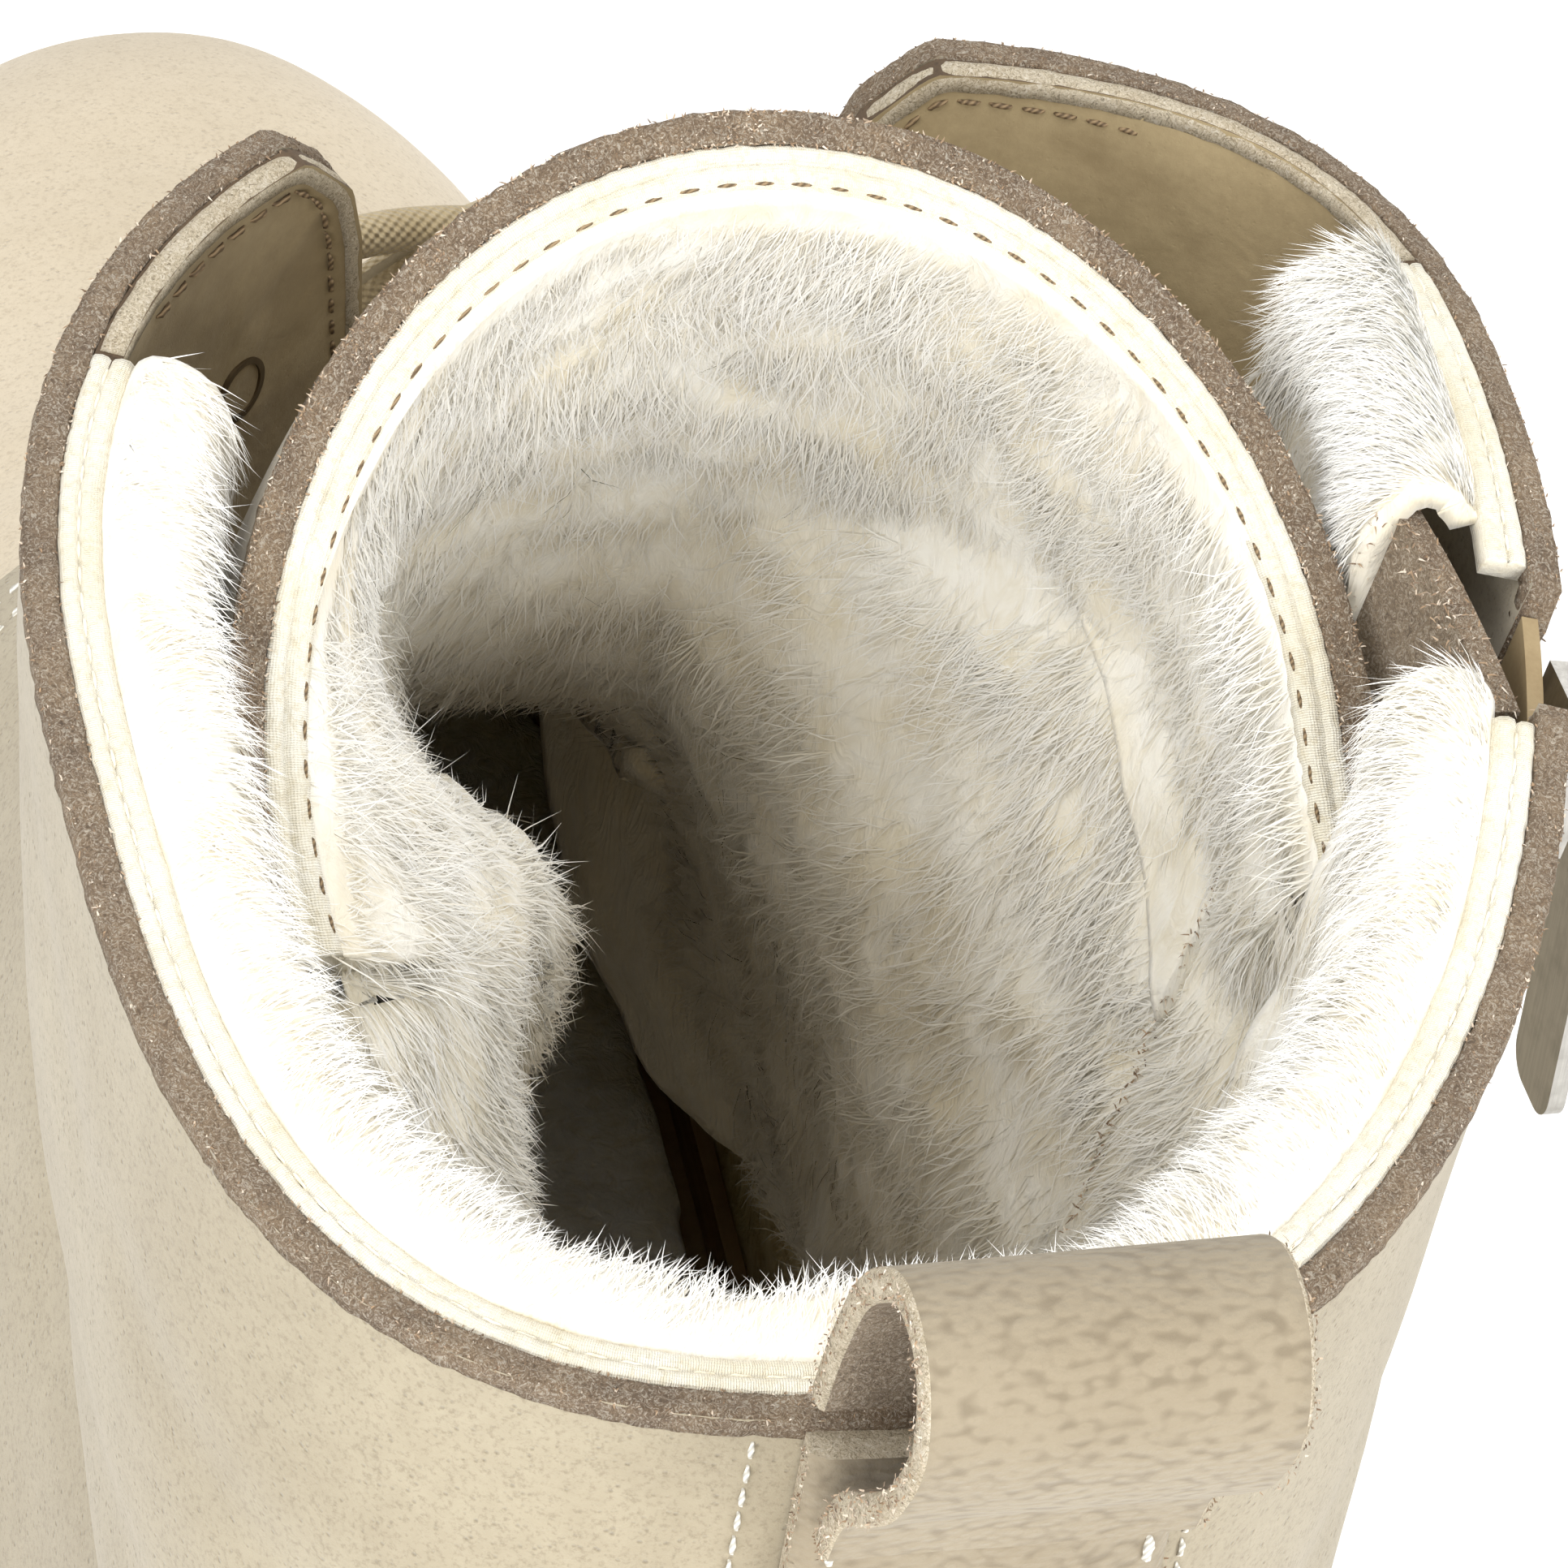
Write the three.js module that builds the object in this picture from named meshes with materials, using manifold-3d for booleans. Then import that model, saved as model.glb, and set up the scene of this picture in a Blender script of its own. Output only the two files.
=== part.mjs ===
// Left sheepskin ankle boot with a lace-up throat, an inner-side zip and a pull loop at the heel.
//
// Frame: millimetres, +X towards the toe, +Y towards the little-toe (lateral) side, +Z up. The origin is the
// centre of the heel's flat rest on the floor.
//
// The upper is worked out from a last: a family of cross-sections that stand upright along the forefoot, fan
// round the ankle and lie nearly level at the collar. Every soft piece that follows the foot (upper, insole,
// heel stay, zip tape, zip guard) is made from that one function at its own distance from the last's surface.

import * as THREE from 'three';
import { mergeVertices } from 'three/addons/utils/BufferGeometryUtils.js';
import Module from 'manifold-3d';

const wasm = await Module();
wasm.setup();

// ---------------------------------------------------------------- driving dimensions

const GAP = 0.3;              // clearance between pieces that touch on the real boot
const LEATHER = 2.2;          // nubuck leather of the upper, the stay and the loop
const WALL_COLLAR = 12.0;     // leather and fleece together at the collar
const WALL_TOE = 8.5;         // leather and shorter fleece together at the toe
const FACING = 4.4;           // two leathers, without fleece, beside the throat
const MIDSOLE = 5.0;          // height of the midsole, whose rim is the stitched welt
const WELT_HEEL = 2.6;        // how far the rim stands out round the heel
const WELT_FORE = 4.6;        // how far the rim stands out round the forefoot
const INSOLE = 5.0;           // board and fleece footbed
const LUG = 5.0;              // depth of the tread
const BAR = 15;               // the heel's bars, along the boot
const BLOCK = 12.5;           // the forefoot's blocks, along the boot
const GROOVE = 5;             // between bars and between blocks
const HEEL_BREAST = 47;       // front of the heel
const TREAD_START = 103;      // back of the forefoot's tread
const LUG_INSET = 1.2;        // lugs stand this far inside the outsole's edge
const THROAT_Y = 2.0;         // middle line of the throat
const TONGUE_Y = -1.5;        // middle line of the tongue
const STAY_WIDTH = 25.5;      // heel stay and pull loop strip
const STAY_Y = 2.5;           // middle line of the stay and the loop
const ZIP_X = 31.0;           // the zip runs down the medial side at this distance forward
const ZIP_SLIT = 10.6;        // width of the opening that the zip closes
const ZIP_FOOT = 11.75;       // row of the last at which the zip ends
const CHAIN = 0.6;            // how far the chain of teeth stands out of the leather
const SLIDER_ROW = 17.3;      // row of the last where the slider stops, at the top of the chain
const SLIDER_PLATE = 2.2;     // thickness of the slider's plate
const BAR_HEIGHT = 2.9;       // the slider's bar, its axis above the plate
const BAR_RADIUS = 0.8;
const EYE_RADIUS = 1.15;      // the pull tab's eye, which turns on that bar
const PULL_WIDTH = 7.4;
const PULL_LENGTH = 31;
const PULL_THICK = 1.3;
const EYELET_PAIRS = 6;
const EYELET_SETBACK = 11;    // eyelet centre behind the throat's edge
const EYELET_ROWS = [8.6, 15.3]; // rows of the last at the lowest and the highest pair
const EYELET_HOLE = 3.1;      // radius of the hole in the leather
const LACE = 3.6;             // lace diameter

const RINGS_PER_ROW = 1.3;    // how finely the last is lofted
const RING_POINTS = 30;

const NUBUCK = 0xcbbb9c;
const SUEDE = 0x9b8768;
const RUBBER = 0xb59a70;
const FLEECE = 0xf2ecdc;
const CORD = 0xc9b795;
const NICKEL = 0xb9b6b0;
const BRASS = 0x6f6250;

// The last. ridge: front end of the section, on the toe, instep and shin line; keel: its other end, on the sole,
// heel and back line; lateral, medial: the y of its greatest breadth on each side; belly: where along the
// section that breadth lies, from keel 0 to ridge 1; ridgePower, keelPower: superellipse powers of its two halves;
// skew: how far the medial side leans forward, and the lateral one fills out behind, as the collar does.
const SECTIONS = table(
  ['ridgeX', 'ridgeZ', 'keelX', 'keelZ', 'lateral', 'medial', 'belly', 'ridgePower', 'keelPower', 'skew'],
  [
    [256, 53, 256, 44, -5, -11, 0.5, 2, 2, 0],
    [254.5, 62, 254.5, 32, 3, -19, 0.45, 2, 2, 0],
    [251, 70, 251, 21, 12, -26.5, 0.42, 2.1, 2.2, 0],
    [243, 77.5, 243, 14, 23, -34.5, 0.4, 2.2, 2.5, 0],
    [228.5, 83, 227, 11, 34.5, -41.5, 0.38, 2.3, 2.8, 0],
    [208.5, 86.5, 207, 9, 43.5, -46, 0.36, 2.3, 3, 0],
    [186, 90, 183, 8, 50, -47.5, 0.34, 2.2, 3, 0],
    [163, 96, 155, 7, 52.5, -47, 0.32, 2.2, 3, 0],
    [142, 105, 122, 8, 49.5, -44.5, 0.3, 2.2, 3, 0],
    [125.5, 115.5, 86, 10, 44.5, -41.5, 0.3, 2.25, 3, 0],
    [114, 128, 49, 11, 41.5, -40, 0.32, 2.3, 3, 0],
    [106.5, 139, 10, 11, 39.5, -38.5, 0.32, 2.3, 2.8, 0],
    [102, 148.5, -22, 15, 39.5, -38, 0.34, 2.3, 2.5, 0.1],
    [99, 156, -38, 40, 42, -39.5, 0.4, 2.3, 2.3, 0.25],
    [96.8, 162.5, -36.5, 70, 46, -42, 0.46, 2.3, 2.25, 0.45],
    [95.3, 168.5, -31.5, 98, 49, -45.5, 0.49, 2.3, 2.25, 0.65],
    [94.2, 174, -28.5, 124, 51, -49.5, 0.5, 2.3, 2.25, 0.8],
    [93.6, 180, -28, 147, 52.2, -53.2, 0.5, 2.3, 2.25, 0.92],
    [93.3, 185.7, -29, 167.5, 52.5, -56, 0.5, 2.3, 2.25, 1],
  ],
);
const COLLAR = SECTIONS.length - 1;

// The feather line, where the upper meets the midsole, and the outsole's underside, as heights along the boot.
const FEATHER = table(['x', 'z'], [
  [-60, 34], [38, 34], [78, 31.5], [114, 28.5], [152, 27], [190, 29], [226, 33.5], [264, 40],
]);
const TREAD = table(['x', 'z'], [
  [-60, 0], [HEEL_BREAST, 0], [HEEL_BREAST + 0.5, 14], [72, 13], [TREAD_START - 3, 10],
  [TREAD_START, 0], [184, 0], [214, 2.4], [238, 7], [264, 13.5],
]);

// The throat, from its rounded end on the vamp to the flared corners of the two tabs: a point on the ridge line
// and half the opening's width there.
const THROAT = table(['x', 'z', 'half'], [
  [155, 99, 4.5], [151.5, 100.5, 7], [142, 105, 9], [125.5, 115.5, 11], [114, 128, 12.5], [106.5, 139, 14],
  [99, 156, 16], [95.3, 168.5, 17.5], [94, 176, 18.5], [93.6, 181, 20], [93.4, 185, 24], [93.2, 190, 33],
]);

// The part of the upper beside the throat that has no fleece, in side view.
const FACING_ZONE = [
  [66, 205], [67, 172], [75, 150], [89, 132], [107, 115], [130, 97], [153, 82], [162, 92], [195, 125], [155, 205],
];

// The tongue, from its seam under the vamp to its top: the middle of its outer face, half its width, how far its
// edges wrap back, the slope at which they do, and its thickness.
const TONGUE = table(['x', 'z', 'half', 'wrap', 'slope', 'thick'], [
  [149, 94, 22, 6, 62, 3.4],
  [136, 101, 26, 9, 55, 5],
  [120.5, 110.5, 29, 14, 49, 6.2],
  [107.5, 124.5, 32, 20, 45, 7.2],
  [98, 141.5, 34.5, 28, 42, 8],
  [90, 159, 37, 36, 40, 8.4],
  [82.5, 175, 39, 42, 40, 8.4],
  [75, 188, 40.3, 45, 40, 8],
  [69.8, 196.8, 40.3, 46, 40, 7],
]);

// The pull loop's strip in side view: out of the collar's top edge, up and back, round, and down to the stay.
const LOOP = [
  [-28.6, 169.9], [-30.6, 177], [-34, 184], [-39.5, 188.8], [-45, 188], [-47.2, 182.6],
  [-44.6, 176], [-39.8, 170.8], [-35.6, 166.6], [-33.6, 161.5],
];

// ---------------------------------------------------------------- small tools

function table(columns, rows) {
  return rows.map((row) => Object.fromEntries(columns.map((name, i) => [name, row[i]])));
}

function lerp(a, b, f) {
  return a + (b - a) * f;
}

// Straight interpolation in a table: the column to, where the rising column from has this value.
function lookUp(rows, from, value, to) {
  const i = Math.max(1, rows.findIndex((row, k) => k > 0 && row[from] >= value));
  const [a, b] = [rows[i - 1], rows[i]];
  return lerp(a[to], b[to], (value - a[from]) / (b[from] - a[from]));
}

// Smooth interpolation of every column of a table at a fractional row.
function rowAt(rows, t) {
  const i = Math.min(Math.max(Math.floor(t), 0), rows.length - 2);
  const f = t - i;
  const at = (k) => rows[Math.min(Math.max(k, 0), rows.length - 1)];
  const row = {};
  for (const name of Object.keys(rows[0])) {
    const [a, b, c, d] = [at(i - 1)[name], at(i)[name], at(i + 1)[name], at(i + 2)[name]];
    row[name] = b + 0.5 * f * (c - a + f * (2 * a - 5 * b + 4 * c - d + f * (3 * (b - c) + d - a)));
  }
  return row;
}

function signedPower(value, power) {
  return Math.sign(value) * Math.abs(value) ** power;
}

function solidFrom(geometry) {
  const bare = geometry.clone();
  bare.deleteAttribute('normal');
  bare.deleteAttribute('uv');
  const merged = mergeVertices(bare, 1e-4);
  return new wasm.Manifold(new wasm.Mesh({
    numProp: 3,
    vertProperties: new Float32Array(merged.attributes.position.array),
    triVerts: new Uint32Array(merged.index.array),
  }));
}

function geometryFrom(solid) {
  const { vertProperties, triVerts } = solid.getMesh();
  const geometry = new THREE.BufferGeometry();
  geometry.setAttribute('position', new THREE.BufferAttribute(new Float32Array(vertProperties), 3));
  geometry.setIndex(new THREE.BufferAttribute(new Uint32Array(triVerts), 1));
  geometry.computeVertexNormals();
  return geometry;
}

// Joins vertices and triangles into a solid, turned so that its faces point out.
function solidOf(points, triangles) {
  let volume = 0;
  for (const [a, b, c] of triangles) {
    volume += points[a].dot(new THREE.Vector3().crossVectors(points[b], points[c]));
  }
  const turned = volume < 0 ? triangles.map(([a, b, c]) => [a, c, b]) : triangles;
  const geometry = new THREE.BufferGeometry().setFromPoints(points);
  geometry.setIndex(turned.flat());
  return solidFrom(geometry);
}

// A solid through rings with equal numbers of points, closed at both ends by a fan.
function loft(rings) {
  const count = rings[0].length;
  const points = rings.flat();
  const triangles = [];
  for (let i = 0; i < rings.length - 1; i += 1) {
    for (let j = 0; j < count; j += 1) {
      const [a, b] = [i * count + j, i * count + (j + 1) % count];
      triangles.push([a, b, b + count], [a, b + count, a + count]);
    }
  }
  for (const end of [0, rings.length - 1]) {
    const middle = rings[end].reduce((sum, p) => sum.add(p), new THREE.Vector3()).divideScalar(count);
    points.push(middle);
    for (let j = 0; j < count; j += 1) {
      const [a, b] = [end * count + j, end * count + (j + 1) % count];
      triangles.push(end === 0 ? [b, a, points.length - 1] : [a, b, points.length - 1]);
    }
  }
  return solidOf(points, triangles);
}

// A solid between two grids of points of the same size, such as the two faces of a piece of leather.
function between(front, back) {
  const [rows, columns] = [front.length, front[0].length];
  const points = [...front.flat(), ...back.flat()];
  const far = rows * columns;
  const id = (i, j) => i * columns + j;
  const triangles = [];
  const quad = (a, b, c, d) => triangles.push([a, b, c], [a, c, d]);
  for (let i = 0; i < rows - 1; i += 1) {
    for (let j = 0; j < columns - 1; j += 1) {
      quad(id(i, j), id(i, j + 1), id(i + 1, j + 1), id(i + 1, j));
      quad(far + id(i, j), far + id(i + 1, j), far + id(i + 1, j + 1), far + id(i, j + 1));
    }
    for (const [j, flip] of [[0, false], [columns - 1, true]]) {
      const side = [id(i, j), id(i + 1, j), far + id(i + 1, j), far + id(i, j)];
      quad(...(flip ? side.reverse() : side));
    }
  }
  for (let j = 0; j < columns - 1; j += 1) {
    for (const [i, flip] of [[0, true], [rows - 1, false]]) {
      const side = [id(i, j), id(i, j + 1), far + id(i, j + 1), far + id(i, j)];
      quad(...(flip ? side.reverse() : side));
    }
  }
  return solidOf(points, triangles);
}

// An outline in the XZ plane extruded across the boot from y = low to y = high.
function sidePrism(outline, low, high) {
  const shape = new THREE.Shape(outline.map(([x, z]) => new THREE.Vector2(x, z)));
  const geometry = new THREE.ExtrudeGeometry(shape, { depth: high - low, bevelEnabled: false });
  geometry.rotateX(Math.PI / 2);
  geometry.translate(0, high, 0);
  return solidFrom(geometry);
}

function box(x0, x1, y0, y1, z0, z1) {
  const geometry = new THREE.BoxGeometry(x1 - x0, y1 - y0, z1 - z0);
  geometry.translate((x0 + x1) / 2, (y0 + y1) / 2, (z0 + z1) / 2);
  return solidFrom(geometry);
}

function unite(solids) {
  return solids.reduce((sum, solid) => sum.add(solid));
}

// ---------------------------------------------------------------- the last

// The shape of one side of section t: where its greatest breadth lies and the powers of its two halves.
function sideShape(row, side) {
  const skew = side > 0 ? 0 : row.skew;
  return {
    belly: row.belly + 0.17 * skew,
    ridgePower: row.ridgePower + 0.3 * skew,
    keelPower: row.keelPower + (side > 0 ? 0.75 : -0.45) * row.skew,
  };
}

// A point on the last's surface at row t. angle runs round the section: 0 lateral, 90 ridge, 180 medial.
function lastPoint(t, angle) {
  const row = rowAt(SECTIONS, t);
  const [along, across] = [Math.sin(angle), Math.cos(angle)];
  const { belly, ridgePower, keelPower } = sideShape(row, across);
  const power = 2 / (along >= 0 ? ridgePower : keelPower);
  const reach = along >= 0 ? 1 - belly : belly;
  const f = belly + reach * signedPower(along, power);
  const middle = (row.lateral + row.medial) / 2;
  const half = (row.lateral - row.medial) / 2;
  return new THREE.Vector3(
    lerp(row.keelX, row.ridgeX, f),
    middle + half * signedPower(across, power),
    lerp(row.keelZ, row.ridgeZ, f),
  );
}

function lastNormal(t, angle) {
  const step = 0.02;
  const [t0, t1] = [Math.max(t - step, 0), Math.min(t + step, COLLAR)];
  const alongRows = lastPoint(t1, angle).sub(lastPoint(t0, angle));
  const round = lastPoint(t, angle + step).sub(lastPoint(t, angle - step));
  return alongRows.cross(round).normalize();
}

// A point at a distance outside the last's surface; inside it the distance is negative.
function skin(t, angle, distance) {
  return lastPoint(t, angle).addScaledVector(lastNormal(t, angle), distance);
}

// The angle of the point of section t that has this x, on the lateral (1) or medial (-1) side.
function angleAtX(t, side, x) {
  const row = rowAt(SECTIONS, t);
  const { belly, ridgePower, keelPower } = sideShape(row, side);
  const f = (x - row.keelX) / (row.ridgeX - row.keelX) - belly;
  const along = f >= 0
    ? Math.min(f / (1 - belly), 1) ** (ridgePower / 2)
    : -(Math.min(-f / belly, 1) ** (keelPower / 2));
  return side > 0 ? Math.asin(along) : Math.PI - Math.asin(along);
}

// The angle of the point of section t's front half that has this y.
function angleAtY(t, y) {
  const row = rowAt(SECTIONS, t);
  const f = (y - (row.lateral + row.medial) / 2) / ((row.lateral - row.medial) / 2);
  return Math.acos(signedPower(f, sideShape(row, f).ridgePower / 2));
}

function wallAt(t) {
  return lerp(WALL_TOE, WALL_COLLAR, t / COLLAR);
}

// The whole last grown by distance(t), carried on above the collar by rise.
function lastForm(distance, rise) {
  const rings = [];
  const count = Math.round(COLLAR * RINGS_PER_ROW);
  for (let i = 0; i <= count; i += 1) {
    const t = COLLAR * i / count;
    const ring = [];
    for (let j = 0; j < RING_POINTS; j += 1) {
      ring.push(skin(t, 2 * Math.PI * j / RING_POINTS, distance(t)));
    }
    rings.push(ring);
  }
  if (rise > 0) {
    rings.push(rings.at(-1).map((p) => p.clone().add(new THREE.Vector3(0, 0, rise))));
  }
  return loft(rings);
}

// ---------------------------------------------------------------- the feather line and the sole

// The last's medial and lateral y at a place in side view, or null outside it.
function breadthAt(x, z) {
  let [low, high] = [0, COLLAR];
  const side = (t) => {
    const row = rowAt(SECTIONS, t);
    return (row.ridgeX - row.keelX) * (z - row.keelZ) - (row.ridgeZ - row.keelZ) * (x - row.keelX);
  };
  for (let i = 0; i < 40; i += 1) {
    const middle = (low + high) / 2;
    if (side(middle) > 0) {
      low = middle;
    } else {
      high = middle;
    }
  }
  const row = rowAt(SECTIONS, low);
  const depth = Math.hypot(row.ridgeX - row.keelX, row.ridgeZ - row.keelZ);
  const along = Math.hypot(x - row.keelX, z - row.keelZ) / depth;
  if (z < row.keelZ || along > 1) {
    return null;
  }
  const middle = (row.lateral + row.medial) / 2;
  return [-1, 1].map((side) => {
    const { belly, ridgePower, keelPower } = sideShape(row, side);
    const f = along - belly;
    const power = f >= 0 ? ridgePower : keelPower;
    const reach = f >= 0 ? 1 - belly : belly;
    const share = (1 - Math.min(Math.abs(f) / reach, 1) ** power) ** (1 / power);
    return middle + side * share * (row.lateral - row.medial) / 2;
  });
}

// Stations along x that crowd towards both ends, so that round ends stay round.
function stations(from, to, count) {
  const list = [];
  for (let i = 0; i <= count; i += 1) {
    list.push(lerp(from, to, (1 - Math.cos(Math.PI * i / count)) / 2));
  }
  return list;
}

// The feather line in plan as a closed loop, grown outwards by grow(x).
function featherOutline(grow) {
  const [heel, toe] = [-35.4, 255.8];
  const lateral = [];
  const medial = [];
  for (const x of stations(heel, toe, 60)) {
    const span = breadthAt(x, lookUp(FEATHER, 'x', x, 'z'));
    if (span) {
      medial.push(new THREE.Vector2(x, span[0]));
      lateral.push(new THREE.Vector2(x, span[1]));
    }
  }
  const loop = [...medial, ...lateral.reverse()];
  return loop.map((p, i) => {
    const before = loop[(i + loop.length - 1) % loop.length];
    const after = loop[(i + 1) % loop.length];
    const tangent = after.clone().sub(before).normalize();
    return new THREE.Vector2(p.x + tangent.y * grow(p.x), p.y - tangent.x * grow(p.x));
  });
}

// The lowest and highest y of a loop at x.
function spanAt(loop, x) {
  const crossings = [];
  loop.forEach((a, i) => {
    const b = loop[(i + 1) % loop.length];
    if ((a.x - x) * (b.x - x) < 0) {
      crossings.push(lerp(a.y, b.y, (x - a.x) / (b.x - a.x)));
    }
  });
  return [Math.min(...crossings), Math.max(...crossings)];
}

// A slab with a loop's outline between two heights that vary along x.
function slab(loop, low, high, count) {
  const inset = 0.25;
  const ends = [Math.min(...loop.map((p) => p.x)) + inset, Math.max(...loop.map((p) => p.x)) - inset];
  const corners = [HEEL_BREAST, HEEL_BREAST + 0.5, TREAD_START - 3, TREAD_START];
  const all = [...stations(...ends, count), ...corners].sort((a, b) => a - b);
  const rings = all.map((x) => {
    const [right, left] = spanAt(loop, x);
    return [
      new THREE.Vector3(x, right, low(x)), new THREE.Vector3(x, left, low(x)),
      new THREE.Vector3(x, left, high(x)), new THREE.Vector3(x, right, high(x)),
    ];
  });
  return loft(rings);
}

const featherAt = (x) => lookUp(FEATHER, 'x', x, 'z');
const treadAt = (x) => lookUp(TREAD, 'x', x, 'z');
const weltAt = (x) => lerp(WELT_HEEL, WELT_FORE, THREE.MathUtils.smoothstep(x, 20, 110));

function makeMidsole() {
  return slab(featherOutline(weltAt), (x) => featherAt(x) - MIDSOLE, featherAt, 44);
}

// The outsole: a body, and under it a tread layer of bars across the heel and rows of blocks in the forefoot.
function makeOutsole() {
  const edge = (x) => weltAt(x) - 0.6;
  const body = slab(featherOutline(edge), (x) => treadAt(x) + LUG, (x) => featherAt(x) - MIDSOLE - GAP, 44);
  const layer = slab(featherOutline((x) => edge(x) - LUG_INSET), treadAt, (x) => treadAt(x) + LUG + 0.8, 44);
  const blocks = [];
  for (let x = -49; x < HEEL_BREAST; x += BAR + GROOVE) {
    blocks.push(box(x, x + BAR, -60, 60, -2, 40));
  }
  for (let x = TREAD_START; x < 262; x += BLOCK + GROOVE) {
    for (const [y0, y1] of [[-60, -15 - GROOVE], [-15, 15], [15 + GROOVE, 60]]) {
      blocks.push(box(x, x + BLOCK, y0, y1, -2, 40));
    }
  }
  return body.add(layer.intersect(unite(blocks)));
}

// Everything above the feather line.
function aboveFeather(lift) {
  const rings = [-70, ...FEATHER.map((row) => row.x).slice(1)].map((x) => {
    const z = featherAt(x) + lift;
    return [[-90, z], [90, z], [90, 260], [-90, 260]].map(([y, height]) => new THREE.Vector3(x, y, height));
  });
  return loft(rings);
}

function makeInsole(inside) {
  return inside.intersect(aboveFeather(GAP)).subtract(aboveFeather(GAP + INSOLE));
}

// ---------------------------------------------------------------- openings in the upper

// The throat's opening: a tapering slot that follows the ridge line.
function throatCut() {
  const [out, through] = [14, 17];
  const rings = THROAT.map((row, i) => {
    const before = THROAT[Math.max(i - 1, 0)];
    const after = THROAT[Math.min(i + 1, THROAT.length - 1)];
    const normal = new THREE.Vector3(after.z - before.z, 0, before.x - after.x).normalize();
    const foot = new THREE.Vector3(row.x, THROAT_Y, row.z);
    const corner = (reach, y) => foot.clone().addScaledVector(normal, reach).add(new THREE.Vector3(0, y, 0));
    return [corner(out, -row.half), corner(out, row.half), corner(-through, row.half), corner(-through, -row.half)];
  });
  return loft(rings);
}

// A bar down the medial side, given by its corners as [distance forward of the zip, depth below the surface].
function zipBar(corners, tLow, tHigh, rise) {
  const steps = 12;
  const rings = [];
  for (let i = 0; i <= steps; i += 1) {
    const t = lerp(tLow, tHigh, i / steps);
    rings.push(corners.map(([forward, depth]) => skin(t, angleAtX(t, -1, ZIP_X + forward), -depth)));
  }
  if (rise > 0) {
    rings.push(rings.at(-1).map((p) => p.clone().add(new THREE.Vector3(0, 0, rise))));
  }
  return loft(rings);
}

// Corners of the slit, of the tape with its chain, and of the suede guard behind them, for zipBar.
const SLIT_HALF = ZIP_SLIT / 2;
const SLIT_CORNERS = [
  [-SLIT_HALF, -6], [SLIT_HALF, -6], [SLIT_HALF, 6.2], [13.4, 9.2], [13.4, 17], [-SLIT_HALF, 17],
];
const TAPE_CORNERS = [
  [0.4 - SLIT_HALF, 1], [-2.6, 1], [-2.6, -CHAIN], [2.6, -CHAIN],
  [2.6, 1], [SLIT_HALF - 0.4, 1], [SLIT_HALF - 0.4, 2.3], [0.4 - SLIT_HALF, 2.3],
];
const GUARD_CORNERS = [[0.9 - SLIT_HALF, 3], [12.5, 9.2], [11.8, 11.1], [0.4 - SLIT_HALF, 4.9]];

// ---------------------------------------------------------------- eyelets and lace

// Rows of the last at equal distances up the ridge line.
function evenRows(from, to, count) {
  const ridge = (t) => {
    const row = rowAt(SECTIONS, t);
    return new THREE.Vector2(row.ridgeX, row.ridgeZ);
  };
  const fine = 200;
  const walk = [{ t: from, distance: 0 }];
  for (let i = 1; i <= fine; i += 1) {
    const t = lerp(from, to, i / fine);
    walk.push({ t, distance: walk[i - 1].distance + ridge(t).distanceTo(ridge(walk[i - 1].t)) });
  }
  const whole = walk[fine].distance;
  return Array.from({ length: count }, (_, k) => lookUp(walk, 'distance', whole * k / (count - 1), 't'));
}

// Each eyelet's place: its row and y, a point on the surface and the direction straight out of it.
function eyeletPlaces() {
  return evenRows(...EYELET_ROWS, EYELET_PAIRS).flatMap((t, pair) => {
    const edge = lookUp(THROAT, 'z', rowAt(SECTIONS, t).ridgeZ, 'half');
    return [1, -1].map((side) => {
      const y = THROAT_Y + side * (edge + EYELET_SETBACK);
      const angle = angleAtY(t, y);
      return { pair, side, t, y, point: lastPoint(t, angle), normal: lastNormal(t, angle) };
    });
  });
}

function standOn(geometry, place) {
  geometry.rotateX(Math.PI / 2);
  const turn = new THREE.Quaternion().setFromUnitVectors(new THREE.Vector3(0, 0, 1), place.normal);
  geometry.applyQuaternion(turn);
  geometry.translate(...place.point);
  return geometry;
}

function eyeletGeometry(place) {
  const profile = [
    [2.1, -FACING], [2.7, -FACING], [2.7, 0.75], [4.4, 0.75], [4.2, 1.4], [2.1, 1.4], [2.1, -FACING],
  ].map(([r, z]) => new THREE.Vector2(r, z));
  return standOn(new THREE.LatheGeometry(profile, 9), place);
}

function eyeletHole(place) {
  return solidFrom(standOn(new THREE.CylinderGeometry(EYELET_HOLE, EYELET_HOLE, 18, 9), place));
}

// A length of lace from above one eyelet to above another, over the leather and across the throat.
function laceRun(from, to) {
  const [steps, sides, clear] = [5, 6, 2.1];
  const points = [];
  for (let i = 0; i <= steps; i += 1) {
    const f = i / steps;
    const t = lerp(from.t, to.t, f);
    points.push(skin(t, angleAtY(t, lerp(from.y, to.y, f)), clear + LACE / 2));
  }
  const section = new THREE.Shape(Array.from({ length: sides }, (_, i) => {
    const angle = 2 * Math.PI * i / sides;
    return new THREE.Vector2(LACE / 2 * Math.cos(angle), LACE / 2 * Math.sin(angle));
  }));
  return solidFrom(new THREE.ExtrudeGeometry(section, { steps, extrudePath: new THREE.CatmullRomCurve3(points) }));
}

// One bar at the foot of the throat, then a crossing between each two pairs, all one length of lace.
function makeLace(places) {
  const at = (pair, side) => places.find((place) => place.pair === pair && place.side === side);
  const runs = [laceRun(at(0, 1), at(0, -1))];
  for (let k = 0; k < EYELET_PAIRS - 1; k += 1) {
    runs.push(laceRun(at(k, 1), at(k + 1, -1)), laceRun(at(k, -1), at(k + 1, 1)));
  }
  return unite(runs);
}

// ---------------------------------------------------------------- tongue, stay and loop

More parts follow.
